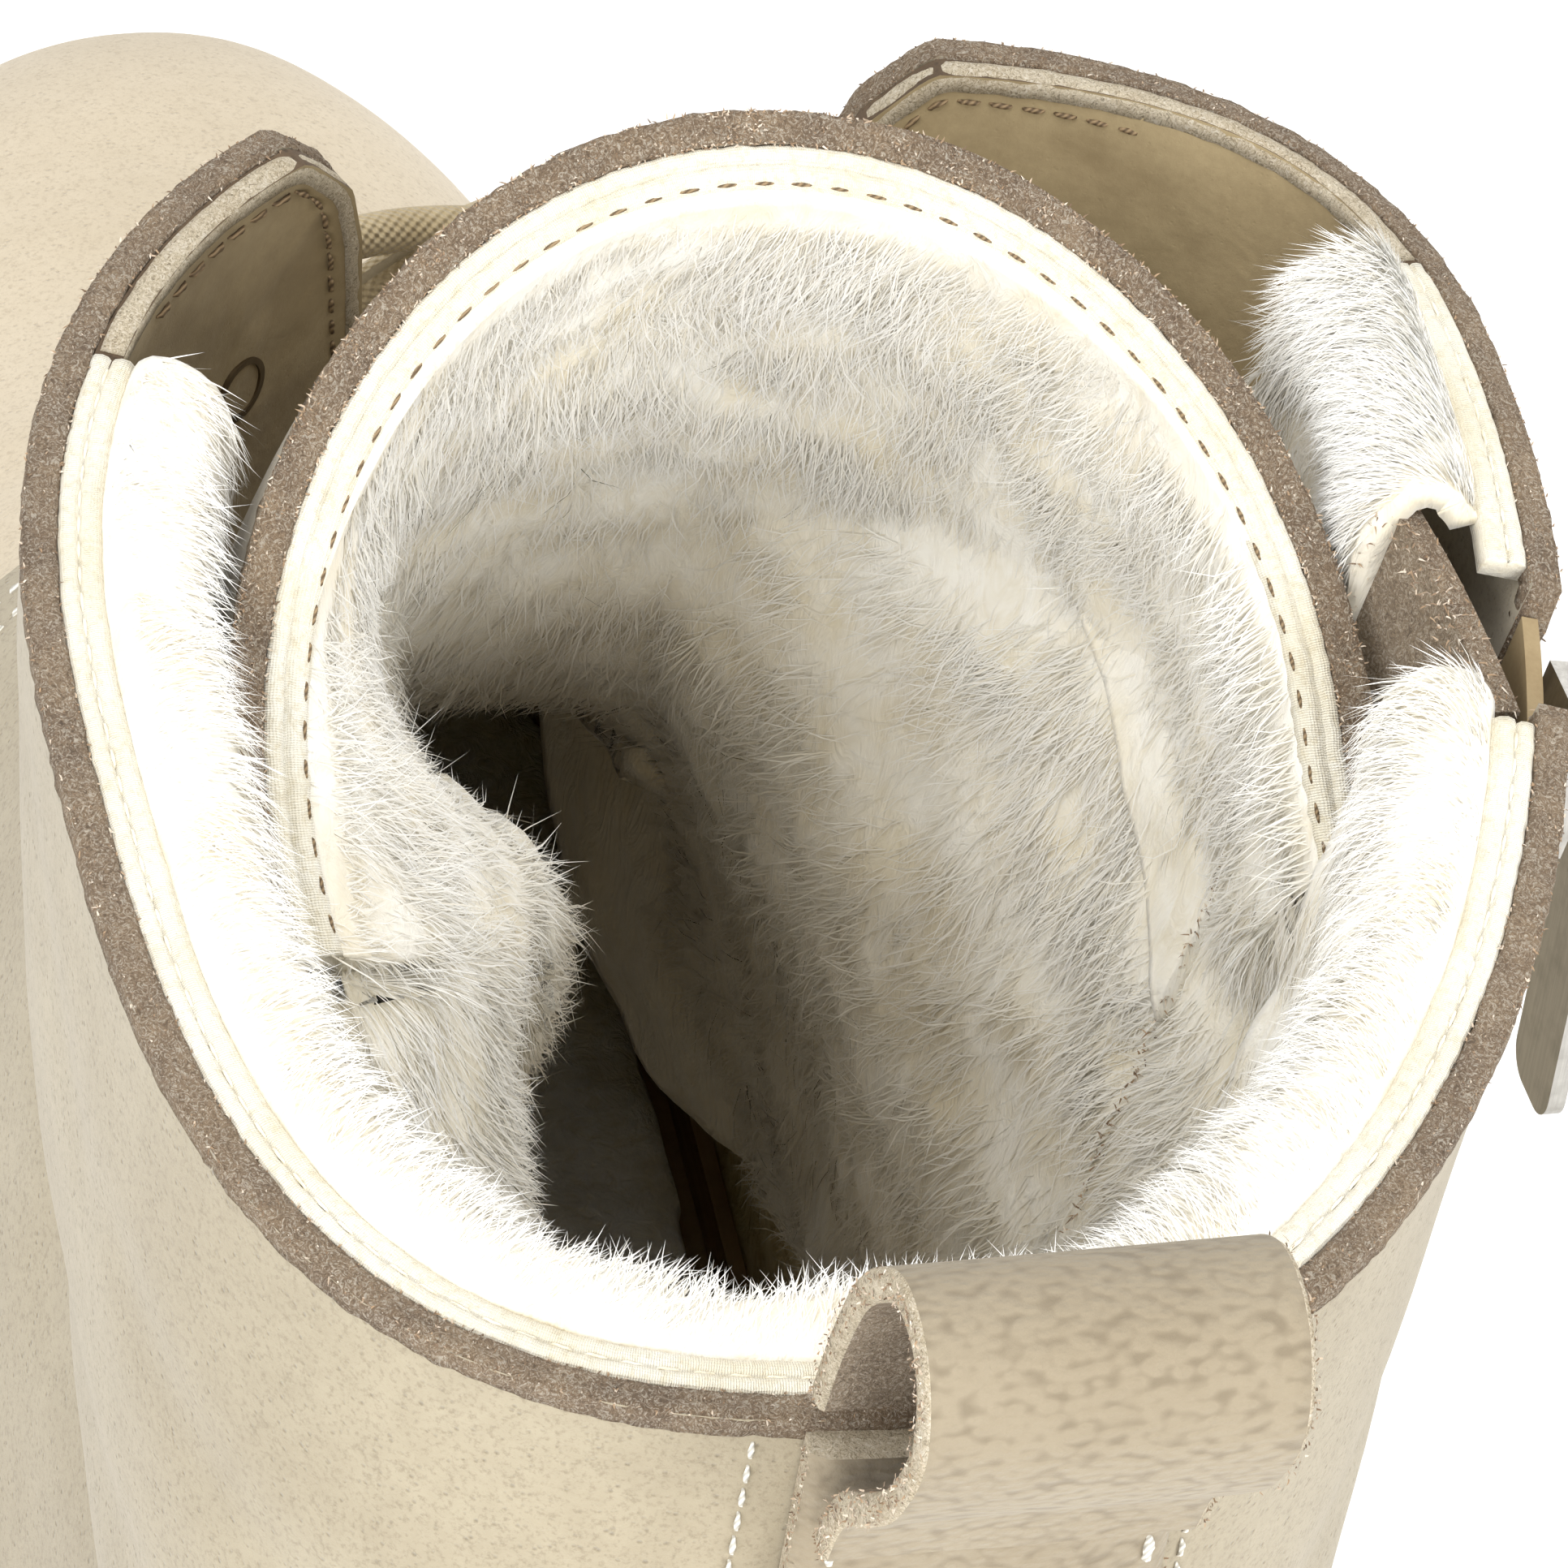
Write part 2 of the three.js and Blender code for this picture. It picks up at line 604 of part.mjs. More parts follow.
// The two faces of the tongue: elliptical arcs that open backwards and downwards, row by row.
function makeTongue() {
  const [rows, columns] = [12, 13];
  const turn = THREE.MathUtils.degToRad(90);
  const front = [];
  const back = [];
  for (let i = 0; i <= rows; i += 1) {
    const row = rowAt(TONGUE, (TONGUE.length - 1) * i / rows);
    const slope = THREE.MathUtils.degToRad(row.slope);
    const inward = new THREE.Vector3(-Math.cos(slope), 0, -Math.sin(slope));
    const place = (depth, y) => new THREE.Vector3(row.x, TONGUE_Y + y, row.z).addScaledVector(inward, depth);
    const faces = [[], []];
    for (let j = 0; j <= columns; j += 1) {
      const angle = lerp(-turn, turn, j / columns);
      const length = Math.hypot(row.half * Math.cos(angle), row.wrap * Math.sin(angle));
      const thick = row.thick * (1 - 0.45 * Math.abs(angle / turn) ** 4) / length;
      const [depth, y] = [row.wrap * (1 - Math.cos(angle)), row.half * Math.sin(angle)];
      faces[0].push(place(depth, y));
      faces[1].push(place(depth + thick * row.half * Math.cos(angle), y - thick * row.wrap * Math.sin(angle)));
    }
    front.push(faces[0]);
    back.push(faces[1]);
  }
  return between(front, back);
}

// The strip of leather up the back seam, cut between two grown forms of the last.
function makeStay() {
  const sleeve = lastForm(() => GAP + LEATHER, 0).subtract(lastForm(() => GAP, 0));
  const outline = [[-60, 20], [10, 20], [10, 166.5], [-60, 166.5]];
  const strip = sidePrism(outline, STAY_Y - STAY_WIDTH / 2, STAY_Y + STAY_WIDTH / 2);
  return sleeve.intersect(strip).intersect(aboveFeather(GAP));
}

function makeLoop() {
  const curve = new THREE.CatmullRomCurve3(LOOP.map(([x, z]) => new THREE.Vector3(x, 0, z)));
  const count = 22;
  const outer = [];
  const inner = [];
  for (let i = 0; i <= count; i += 1) {
    const p = curve.getPoint(i / count);
    const tangent = curve.getTangent(i / count);
    outer.push([p.x - tangent.z * LEATHER / 2, p.z + tangent.x * LEATHER / 2]);
    inner.push([p.x + tangent.z * LEATHER / 2, p.z - tangent.x * LEATHER / 2]);
  }
  return sidePrism([...outer, ...inner.reverse()], STAY_Y - STAY_WIDTH / 2, STAY_Y + STAY_WIDTH / 2);
}

// ---------------------------------------------------------------- zip slider and its pull

// The slider's own frame: x forward, y out of the boot, z up along the zip.
function sliderFrame() {
  const surface = (t) => lastPoint(t, angleAtX(t, -1, ZIP_X));
  const up = surface(SLIDER_ROW + 0.5).sub(surface(SLIDER_ROW - 0.5)).setX(0).normalize();
  const forward = new THREE.Vector3(1, 0, 0);
  const out = new THREE.Vector3().crossVectors(up, forward).negate();
  const origin = surface(SLIDER_ROW).addScaledVector(out, CHAIN + 0.8);
  return new THREE.Matrix4().makeBasis(forward, out, up).setPosition(origin);
}

function makeSlider(frame) {
  const plate = box(-4, 4, 0, SLIDER_PLATE, -6, 5);
  const posts = [-1, 1].map((side) => box(
    Math.min(side * 2.5, side * 3.7), Math.max(side * 2.5, side * 3.7),
    SLIDER_PLATE - 0.5, SLIDER_PLATE + BAR_HEIGHT + 1, -1.4, 1.4,
  ));
  const bar = new THREE.CylinderGeometry(BAR_RADIUS, BAR_RADIUS, 6, 12);
  bar.rotateZ(Math.PI / 2);
  bar.translate(0, SLIDER_PLATE + BAR_HEIGHT, 0);
  return unite([plate, ...posts, solidFrom(bar)]).transform([...frame.elements]);
}

// An eye round the slider's bar and a flat tab with a narrow neck, hanging straight down.
function makePull(frame) {
  const axis = new THREE.Vector3(0, SLIDER_PLATE + BAR_HEIGHT, 0).applyMatrix4(frame);
  const eyeWidth = 4.2;
  const ring = [[EYE_RADIUS, -0.5], [2, -0.5], [2, 0.5], [EYE_RADIUS, 0.5], [EYE_RADIUS, -0.5]];
  const eye = new THREE.LatheGeometry(ring.map(([r, y]) => new THREE.Vector2(r, y * eyeWidth)), 20);
  eye.rotateZ(Math.PI / 2);
  eye.translate(...axis);
  const tab = new THREE.Shape();
  const [neck, shoulder, round] = [eyeWidth / 2, 9, 2.4];
  tab.moveTo(-neck, -1.6);
  tab.lineTo(-neck, -shoulder + 2);
  tab.lineTo(-PULL_WIDTH / 2, -shoulder);
  tab.lineTo(-PULL_WIDTH / 2, -PULL_LENGTH + round);
  tab.absarc(-PULL_WIDTH / 2 + round, -PULL_LENGTH + round, round, Math.PI, 1.5 * Math.PI, false);
  tab.absarc(PULL_WIDTH / 2 - round, -PULL_LENGTH + round, round, 1.5 * Math.PI, 2 * Math.PI, false);
  tab.lineTo(PULL_WIDTH / 2, -shoulder);
  tab.lineTo(neck, -shoulder + 2);
  tab.lineTo(neck, -1.6);
  const plate = new THREE.ExtrudeGeometry(tab, { depth: PULL_THICK, bevelEnabled: false, curveSegments: 4 });
  plate.rotateX(Math.PI / 2);
  plate.translate(axis.x, axis.y + PULL_THICK / 2, axis.z);
  return solidFrom(eye).add(solidFrom(plate));
}

// ---------------------------------------------------------------- the boot

const boot = new THREE.Group();
boot.name = 'sheepskin_boot';

function add(name, shape, color, roughness, metalness = 0) {
  const geometry = shape.isBufferGeometry ? shape : geometryFrom(shape);
  const mesh = new THREE.Mesh(geometry, new THREE.MeshStandardMaterial({ color, roughness, metalness }));
  mesh.name = name;
  boot.add(mesh);
}

const eyelets = eyeletPlaces();
const facingZone = sidePrism(FACING_ZONE, -80, 80);
const hollow = lastForm((t) => -wallAt(t), 40);
const facingHollow = lastForm(() => -FACING, 40).intersect(facingZone);
const slit = zipBar(SLIT_CORNERS, ZIP_FOOT, COLLAR, 30);

const upper = lastForm(() => 0, 0)
  .subtract(hollow)
  .subtract(facingHollow)
  .intersect(aboveFeather(GAP))
  .subtract(throatCut())
  .subtract(slit)
  .subtract(unite(eyelets.map(eyeletHole)));

// Free room for the tongue: the hollow and the facing's relief, both drawn in by a little more than the gap.
const clearZone = sidePrism(FACING_ZONE.map(([x, z]) => [x + 0.5, z + 0.5]), -80, 80);
const clearFacing = lastForm(() => -FACING - 0.4, 40).intersect(clearZone);
const room = lastForm((t) => -wallAt(t) - 0.4, 40).add(clearFacing);

add('outsole', makeOutsole(), RUBBER, 0.8);
add('midsole', makeMidsole(), SUEDE, 0.75);
add('insole', makeInsole(lastForm((t) => -wallAt(t) - 0.5, 0)), FLEECE, 0.95);
add('upper', upper, NUBUCK, 0.9);
add('tongue', makeTongue().intersect(room), NUBUCK, 0.9);
add('heel_stay', makeStay(), NUBUCK, 0.9);
add('pull_loop', makeLoop(), NUBUCK, 0.85);
add('zip_tape', zipBar(TAPE_CORNERS, ZIP_FOOT + 0.12, COLLAR - 0.25, 0), CORD, 0.8);
add('zip_guard', zipBar(GUARD_CORNERS, ZIP_FOOT + 0.12, COLLAR - 0.2, 0), SUEDE, 0.95);
const frame = sliderFrame();
add('zip_slider', makeSlider(frame), NICKEL, 0.35, 1);
add('zip_pull', makePull(frame), NICKEL, 0.35, 1);
for (const place of eyelets) {
  const name = `eyelet_${place.side > 0 ? 'lateral' : 'medial'}_${place.pair + 1}`;
  add(name, eyeletGeometry(place), BRASS, 0.4, 1);
}
add('lace', makeLace(eyelets), CORD, 0.85);

export default boot;
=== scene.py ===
# Left sheepskin ankle boot: nubuck, raw edges, fleece pile, edge tape, stitches, zip, lacing and sole.
#
# Lengths are in millimetres while a piece is worked out, and become metres when its mesh is made. Every soft
# piece follows the same last as the solids: row t runs from the toe's tip to the collar, and an angle goes
# round the row.

import math

import bmesh
import bpy
import numpy as np
from mathutils import Matrix, Vector


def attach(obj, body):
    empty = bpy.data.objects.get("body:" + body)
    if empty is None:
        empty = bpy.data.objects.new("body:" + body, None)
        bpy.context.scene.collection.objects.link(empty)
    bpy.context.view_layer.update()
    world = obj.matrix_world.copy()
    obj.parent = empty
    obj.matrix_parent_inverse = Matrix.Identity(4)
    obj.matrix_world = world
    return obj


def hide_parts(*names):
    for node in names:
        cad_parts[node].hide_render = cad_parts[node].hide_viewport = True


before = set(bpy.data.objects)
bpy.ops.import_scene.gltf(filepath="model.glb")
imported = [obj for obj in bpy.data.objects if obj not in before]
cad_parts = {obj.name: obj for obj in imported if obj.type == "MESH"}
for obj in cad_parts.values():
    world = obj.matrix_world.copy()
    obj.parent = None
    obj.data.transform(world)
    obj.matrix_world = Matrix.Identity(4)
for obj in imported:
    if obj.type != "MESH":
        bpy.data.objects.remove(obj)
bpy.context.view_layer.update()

MM = 0.001
BODY = "boot"

# ------------------------------------------------------------------ driving dimensions

GAP = 0.3
LEATHER = 2.2            # nubuck of the upper, the stay and the loop
FACING = 4.4             # two leathers beside the throat
WALL_COLLAR = 12.0       # leather and fleece at the collar
WALL_TOE = 8.5
MIDSOLE = 5.0
WELT_HEEL, WELT_FORE = 2.6, 4.6
THROAT_Y, TONGUE_Y, STAY_Y = 2.0, -1.5, 2.5
STAY_WIDTH = 25.5
ZIP_X, ZIP_HALF, ZIP_FOOT = 31.0, 5.3, 11.75
ZIP_TOP = 17.75
EYELET_PAIRS, EYELET_SETBACK, EYELET_ROWS = 6, 11.0, (8.6, 15.3)
LACE = 3.6
COLLAR = 18.0
TAPE_DEPTH = 5.4         # the edge tape ends this deep, and the fleece begins
RAW = 2.35               # raw cut edge, seen from above
FIBRE = 0.06             # half the breadth of a fleece fibre

# rows of the last, toe to collar: ridge x z, keel x z, lateral y, medial y, belly, ridge and keel power, skew
SECTIONS = np.array([
    (256, 53, 256, 44, -5, -11, .5, 2, 2, 0),
    (254.5, 62, 254.5, 32, 3, -19, .45, 2, 2, 0),
    (251, 70, 251, 21, 12, -26.5, .42, 2.1, 2.2, 0),
    (243, 77.5, 243, 14, 23, -34.5, .4, 2.2, 2.5, 0),
    (228.5, 83, 227, 11, 34.5, -41.5, .38, 2.3, 2.8, 0),
    (208.5, 86.5, 207, 9, 43.5, -46, .36, 2.3, 3, 0),
    (186, 90, 183, 8, 50, -47.5, .34, 2.2, 3, 0),
    (163, 96, 155, 7, 52.5, -47, .32, 2.2, 3, 0),
    (142, 105, 122, 8, 49.5, -44.5, .3, 2.2, 3, 0),
    (125.5, 115.5, 86, 10, 44.5, -41.5, .3, 2.25, 3, 0),
    (114, 128, 49, 11, 41.5, -40, .32, 2.3, 3, 0),
    (106.5, 139, 10, 11, 39.5, -38.5, .32, 2.3, 2.8, 0),
    (102, 148.5, -22, 15, 39.5, -38, .34, 2.3, 2.5, .1),
    (99, 156, -38, 40, 42, -39.5, .4, 2.3, 2.3, .25),
    (96.8, 162.5, -36.5, 70, 46, -42, .46, 2.3, 2.25, .45),
    (95.3, 168.5, -31.5, 98, 49, -45.5, .49, 2.3, 2.25, .65),
    (94.2, 174, -28.5, 124, 51, -49.5, .5, 2.3, 2.25, .8),
    (93.6, 180, -28, 147, 52.2, -53.2, .5, 2.3, 2.25, .92),
    (93.3, 185.7, -29, 167.5, 52.5, -56, .5, 2.3, 2.25, 1),
])

# what skew adds to the keel power on the lateral and on the medial side
REAR_FILL, REAR_DRAW = 0.75, -0.45

# x, z of the line where upper and midsole meet
FEATHER = np.array([
    (-60, 34), (38, 34), (78, 31.5), (114, 28.5), (152, 27), (190, 29), (226, 33.5), (264, 40),
])

# z on the ridge line, half the throat's width there
THROAT = np.array([
    (98.2, 0), (98.4, 2.2), (99, 4.5), (100.5, 7), (105, 9), (115.5, 11), (128, 12.5), (139, 14), (156, 16),
    (168.5, 17.5), (176, 18.5), (181, 20), (185, 24), (190, 33),
])

# z, x of the line behind which there is fleece; in front of it the facing's leather lies against the tongue
FLEECE_LINE = np.array([(82, 153), (97, 130), (115, 107), (132, 89), (150, 75), (172, 67), (205, 66)])

# x, z, half width, wrap, slope, thickness of the tongue
TONGUE = np.array([
    (149, 94, 22, 6, 62, 3.4), (136, 101, 26, 9, 55, 5), (120.5, 110.5, 29, 14, 49, 6.2),
    (107.5, 124.5, 32, 20, 45, 7.2), (98, 141.5, 34.5, 28, 42, 8), (90, 159, 37, 36, 40, 8.4),
    (82.5, 175, 39, 42, 40, 8.4), (75, 188, 40.3, 45, 40, 8), (69.8, 196.8, 40.3, 46, 40, 7),
])

# x, z of the pull loop's strip, from inside the collar's edge up, back, round and down to the stay
LOOP = np.array([
    (-28.6, 169.9), (-30.6, 177), (-34, 184), (-39.5, 188.8), (-45, 188), (-47.2, 182.6),
    (-44.6, 176), (-39.8, 170.8), (-35.6, 166.6), (-33.6, 161.5),
])

# ------------------------------------------------------------------ camera, light and floor

CAMERA_TURN, CAMERA_RISE, CAMERA_ROLL = 20.2, 39.27, 9.03    # degrees
CAMERA_AWAY, CAMERA_LENS = 0.759, 256.1                     # metres, millimetres on a 36 mm film
CAMERA_AIM = Vector((0.03594, -0.0001, 0.1651))


def make_camera():
    turn, rise, roll = (math.radians(a) for a in (CAMERA_TURN, CAMERA_RISE, CAMERA_ROLL))
    back = Vector((-math.cos(turn) * math.cos(rise), math.sin(turn) * math.cos(rise), math.sin(rise)))
    right = (-back).cross(Vector((0, 0, 1))).normalized()
    up = right.cross(-back)
    rolled_right = math.cos(roll) * right + math.sin(roll) * up
    rolled_up = -math.sin(roll) * right + math.cos(roll) * up
    camera = bpy.data.objects.new("camera", bpy.data.cameras.new("camera"))
    camera.data.lens = CAMERA_LENS
    camera.data.sensor_width = 36
    camera.data.clip_start, camera.data.clip_end = 0.05, 20
    axes = Matrix((rolled_right, rolled_up, back)).transposed().to_4x4()
    camera.matrix_world = Matrix.Translation(CAMERA_AIM + CAMERA_AWAY * back) @ axes
    bpy.context.collection.objects.link(camera)
    bpy.context.scene.camera = camera


def softbox(name, place, aim, size, power):
    light = bpy.data.objects.new(name, bpy.data.lights.new(name, "AREA"))
    light.data.shape = "SQUARE"
    light.data.size = size
    light.data.energy = power
    light.location = place
    light.rotation_mode = "QUATERNION"
    light.rotation_quaternion = (Vector(aim) - Vector(place)).to_track_quat("-Z", "Y")
    bpy.context.collection.objects.link(light)


def make_studio():
    world = bpy.data.worlds.new("studio")
    world.use_nodes = True
    world.node_tree.nodes["Background"].inputs["Color"].default_value = (1, 1, 1, 1)
    world.node_tree.nodes["Background"].inputs["Strength"].default_value = 0.74
    scene = bpy.context.scene
    scene.world = world
    scene.view_settings.view_transform = "Standard"
    softbox("light_above", (0.0, 0.1, 1.5), (0.03, 0, 0.15), 1.0, 9)
    softbox("light_behind_left", (-1.25, 0.55, 0.5), (0.06, 0, 0.16), 0.8, 10)
    softbox("light_behind_right", (-1.0, -0.75, 0.6), (0.05, 0, 0.16), 0.8, 9)
    softbox("light_left", (-0.45, 1.1, 0.85), (0.05, 0, 0.15), 0.8, 6)
    softbox("light_front_right", (1.0, -0.8, 0.9), (0.05, 0, 0.1), 0.9, 3)
    bpy.ops.mesh.primitive_plane_add(size=8, location=(0, 0, -0.0002))
    floor = bpy.context.object
    floor.name = "floor"
    floor.data.materials.append(PLAIN_FLOOR)


# ------------------------------------------------------------------ node tools

def shade(code):
    """A colour written as six hex digits, as the linear colour that shaders use."""
    parts = [int(code[i:i + 2], 16) / 255 for i in (0, 2, 4)]
    return tuple(c / 12.92 if c <= 0.04045 else ((c + 0.055) / 1.055) ** 2.4 for c in parts) + (1.0,)


class Net:
    """Adds nodes to a tree and joins them; each call returns the socket that the next one uses."""

    def __init__(self, tree):
        self.tree = tree

    def put(self, kind, *inputs, out=0, **settings):
        node = self.tree.nodes.new(kind)
        for name, value in settings.items():
            setattr(node, name, value)
        for key, value in inputs:
            self.feed(node.inputs[key], value)
        return node.outputs[out]

    def feed(self, socket, value):
        if isinstance(value, bpy.types.NodeSocket):
            self.tree.links.new(value, socket)
        elif value is not None:
            socket.default_value = value

    def where(self):
        return self.put("ShaderNodeTexCoord", out="Object")

    def math(self, operation, a, b=0.0, clamp=False):
        return self.put("ShaderNodeMath", (0, a), (1, b), operation=operation, use_clamp=clamp)

    def noise(self, scale, detail=3.0, rough=0.6, at=None, warp=0.0):
        return self.put("ShaderNodeTexNoise", ("Vector", at or self.where()), ("Scale", scale),
                        ("Detail", detail), ("Roughness", rough), ("Distortion", warp))

    def cells(self, scale, at=None, feature="F1", out="Distance", random=1.0):
        return self.put("ShaderNodeTexVoronoi", ("Vector", at or self.where()), ("Scale", scale),
                        ("Randomness", random), out=out, feature=feature)

    def band(self, value, low, high, to_low=0.0, to_high=1.0):
        return self.put("ShaderNodeMapRange", (0, value), (1, low), (2, high), (3, to_low), (4, to_high))

    def mix(self, share, a, b):
        node = self.tree.nodes.new("ShaderNodeMix")
        node.data_type = "RGBA"
        self.feed(node.inputs[0], share)
        self.feed(node.inputs[6], a)
        self.feed(node.inputs[7], b)
        return node.outputs[2]

    def stretch(self, scale, at=None, turn=(0, 0, 0)):
        return self.put("ShaderNodeMapping", ("Vector", at or self.where()), ("Scale", scale),
                        ("Rotation", turn))

    def bump(self, height, strength=1.0, distance=0.0002, normal=None):
        return self.put("ShaderNodeBump", ("Height", height), ("Strength", strength),
                        ("Distance", distance), ("Normal", normal))


def group(name, inputs, outputs, build):
    """A node group with named float or colour inputs and outputs, filled in by build(net, read, write)."""
    tree = bpy.data.node_groups.new(name, "ShaderNodeTree")
    for label, value in inputs:
        kind = "NodeSocketColor" if isinstance(value, tuple) else "NodeSocketFloat"
        tree.interface.new_socket(label, in_out="INPUT", socket_type=kind).default_value = value
    for label, kind in outputs:
        tree.interface.new_socket(label, in_out="OUTPUT", socket_type=kind)
    source, sink = tree.nodes.new("NodeGroupInput"), tree.nodes.new("NodeGroupOutput")
    net = Net(tree)
    build(net, lambda label: source.outputs[label], lambda label, value: net.feed(sink.inputs[label], value))
    return tree


def use(net, tree, **inputs):
    """The outputs of a group placed in a material; a space in an input's name is written as an underscore."""
    node = net.tree.nodes.new("ShaderNodeGroup")
    node.node_tree = tree
    for key, value in inputs.items():
        net.feed(node.inputs[key.replace("_", " ")], value)
    return node.outputs


def build_grain(net, read, write):
    pores = net.cells(read("Scale"))
    open_here = net.band(net.noise(net.math("MULTIPLY", read("Scale"), 0.55), 2), 0.46, 0.6)
    pore = net.math("MULTIPLY", net.band(pores, 0.05, 0.32, 1.0, 0.0), open_here, clamp=True)
    nap = net.noise(net.math("MULTIPLY", read("Scale"), 1.9), 5, 0.7, warp=0.6)
    low = net.math("MULTIPLY", pore, read("Pore Depth"))
    write("Height", net.math("SUBTRACT", net.math("MULTIPLY", nap, read("Nap Depth")), low))
    write("Pores", pore)


def build_drift(net, read, write):
    broad = net.band(net.noise(read("Scale"), 3, 0.55), 0.33, 0.67)
    fine = net.band(net.noise(net.math("MULTIPLY", read("Scale"), 14), 4, 0.7), 0.3, 0.7)
    share = net.math("ADD", net.math("MULTIPLY", broad, 0.62), net.math("MULTIPLY", fine, 0.38), clamp=True)
    write("Color", net.mix(share, read("Dark"), read("Light")))


def build_fibres(net, read, write):
    loops = net.cells(net.math("MULTIPLY", read("Scale"), 1.0), feature="SMOOTH_F1")
    strands = net.noise(net.math("MULTIPLY", read("Scale"), 1.6), 6, 0.75, warp=2.2)
    write("Height", net.math("ADD", net.math("MULTIPLY", strands, 1.0), net.math("MULTIPLY", loops, 0.55)))
    flecks = net.noise(net.math("MULTIPLY", read("Scale"), 1.1), 4, 0.8, warp=3.0)
    write("Light Flecks", net.band(flecks, 0.51, 0.6))
    write("Dark Flecks", net.band(flecks, 0.47, 0.38))


def build_weave(net, read, write):
    uv = net.put("ShaderNodeTexCoord", out="UV")
    across = net.put("ShaderNodeTexWave", ("Vector", net.stretch((1, 1, 1), uv)), ("Scale", read("Scale")),
                     ("Distortion", 0.5), ("Detail", 1.0), wave_type="BANDS", bands_direction="X")
    along = net.put("ShaderNodeTexWave", ("Vector", net.stretch((1, 1, 1), uv)),
                    ("Scale", net.math("MULTIPLY", read("Scale"), 0.8)), ("Distortion", 0.5),
                    ("Detail", 1.0), wave_type="BANDS", bands_direction="Y")
    write("Height", net.math("ADD", across, net.math("MULTIPLY", along, read("Rib"))))


def build_soil(net, read, write):
    patch = net.band(net.noise(read("Scale"), 5, 0.62), 0.5, 0.72)
    write("Color", net.mix(net.math("MULTIPLY", patch, read("Amount")), read("Color"), read("Soil")))


FLOAT, COLOUR = "NodeSocketFloat", "NodeSocketColor"
GRAIN = group("Pore grain", [("Scale", 1500.0), ("Pore Depth", 1.0), ("Nap Depth", 0.5)],
              [("Height", FLOAT), ("Pores", FLOAT)], build_grain)
DRIFT = group("Colour drift", [("Dark", shade("B5A585")), ("Light", shade("D0C2A4")), ("Scale", 30.0)],
              [("Color", COLOUR)], build_drift)
FIBRES = group("Raw fibres", [("Scale", 1400.0)],
               [("Height", FLOAT), ("Light Flecks", FLOAT), ("Dark Flecks", FLOAT)], build_fibres)
WEAVE = group("Weave", [("Scale", 1.0), ("Rib", 0.6)], [("Height", FLOAT)], build_weave)
SOIL = group("Soil",
             [("Color", (0.8, 0.8, 0.8, 1)), ("Soil", (0.4, 0.3, 0.2, 1)), ("Scale", 40.0), ("Amount", 0.3)],
             [("Color", COLOUR)], build_soil)


def material(name, build, rough=0.8, metallic=0.0, sheen=0.0, specular=0.5):
    made = bpy.data.materials.new(name)
    made.use_nodes = True
    shader = made.node_tree.nodes["Principled BSDF"]
    shader.inputs["Roughness"].default_value = rough
    shader.inputs["Metallic"].default_value = metallic
    shader.inputs["Sheen Weight"].default_value = sheen
    shader.inputs["Sheen Roughness"].default_value = 0.6
    shader.inputs["Specular IOR Level"].default_value = specular
    net = Net(made.node_tree)
    colour, normal = build(net)
    net.feed(shader.inputs["Base Color"], colour)
    net.feed(shader.inputs["Normal"], normal)
    return made


# ------------------------------------------------------------------ materials

def nubuck(dark, light, pore, scale=1500.0, depth=0.00022, pore_share=0.55):
    """Buffed grain: a short nap, scattered dark pores and broad, soft changes of tone."""
    def build(net):
        grain = use(net, GRAIN, Scale=scale, Pore_Depth=1.0, Nap_Depth=0.55)
        colour = use(net, DRIFT, Dark=shade(dark), Light=shade(light), Scale=26.0)["Color"]
        speckle = net.band(net.noise(1900, 3, 0.75), 0.5, 0.68)
        colour = net.mix(net.math("MULTIPLY", speckle, 0.42), colour, shade(pore))
        share = net.math("MULTIPLY", grain["Pores"], pore_share)
        return net.mix(share, colour, shade(pore)), net.bump(grain["Height"], 0.55, depth)
    return build


def raw_suede(dark, middle, light, scale=1500.0, depth=0.0006):
    """A cut edge or flesh side: loose mixed fibres, some nearly white and some dark."""
    def build(net):
        fibres = use(net, FIBRES, Scale=scale)
        colour = use(net, DRIFT, Dark=shade(dark), Light=shade(middle), Scale=220.0)["Color"]
        colour = net.mix(net.math("MULTIPLY", fibres["Light Flecks"], 0.75), colour, shade(light))
        colour = net.mix(net.math("MULTIPLY", fibres["Dark Flecks"], 0.6), colour, shade("4A3C2E"))
        return colour, net.bump(fibres["Height"], 0.9, depth)
    return build


def pebbled(net):
    """Embossed grain of small slanting dashes, on the pull loop and the stay."""
    slanted = net.stretch((1500, 900, 1500), turn=(0.5, 0.3, 0.6))
    dashes = net.put("ShaderNodeTexVoronoi", ("Vector", slanted), ("Scale", 1.0), feature="SMOOTH_F1")
    fine = net.noise(2600, 4, 0.7)
    colour = use(net, DRIFT, Dark=shade("8D8069"), Light=shade("978B75"), Scale=60.0)["Color"]
    colour = net.mix(net.band(dashes, 0.42, 0.7, 0.0, 0.5), colour, shade("665944"))
    height = net.math("SUBTRACT", net.math("MULTIPLY", fine, 0.4), dashes)
    return colour, net.bump(height, 0.7, 0.0003)


def facing_leather(net):
    """Smooth olive-tan lining leather with soft wrinkles, with painted shade in the wrinkles' hollows."""
    folds = net.noise(70, 4, 0.6, warp=0.3)
    grain = use(net, GRAIN, Scale=2100.0, Pore_Depth=0.4, Nap_Depth=0.6)
    colour = use(net, DRIFT, Dark=shade("93815F"), Light=shade("AE9C77"), Scale=90.0)["Color"]
    # painted shade: darker where the folds' bump is low
    colour = net.mix(net.band(folds, 0.48, 0.36, 0.0, 0.35), colour, shade("7D6A48"))
    first = net.bump(folds, 0.5, 0.0012)
    return colour, net.bump(grain["Height"], 0.4, 0.00015, first)


def add_painted_shade(net, colour):
    """Painted shade: the pile turns darker and browner where its shade attribute is high, deep in the boot's
    inside.
    """
    painted_shade = net.put("ShaderNodeAttribute", out="Fac", attribute_name="painted_shade")
    # painted shade deep in the boot, mixed in by the per-vertex shade attribute
    return net.mix(net.math("MULTIPLY", painted_shade, 0.5), colour, shade("C9B27E"))


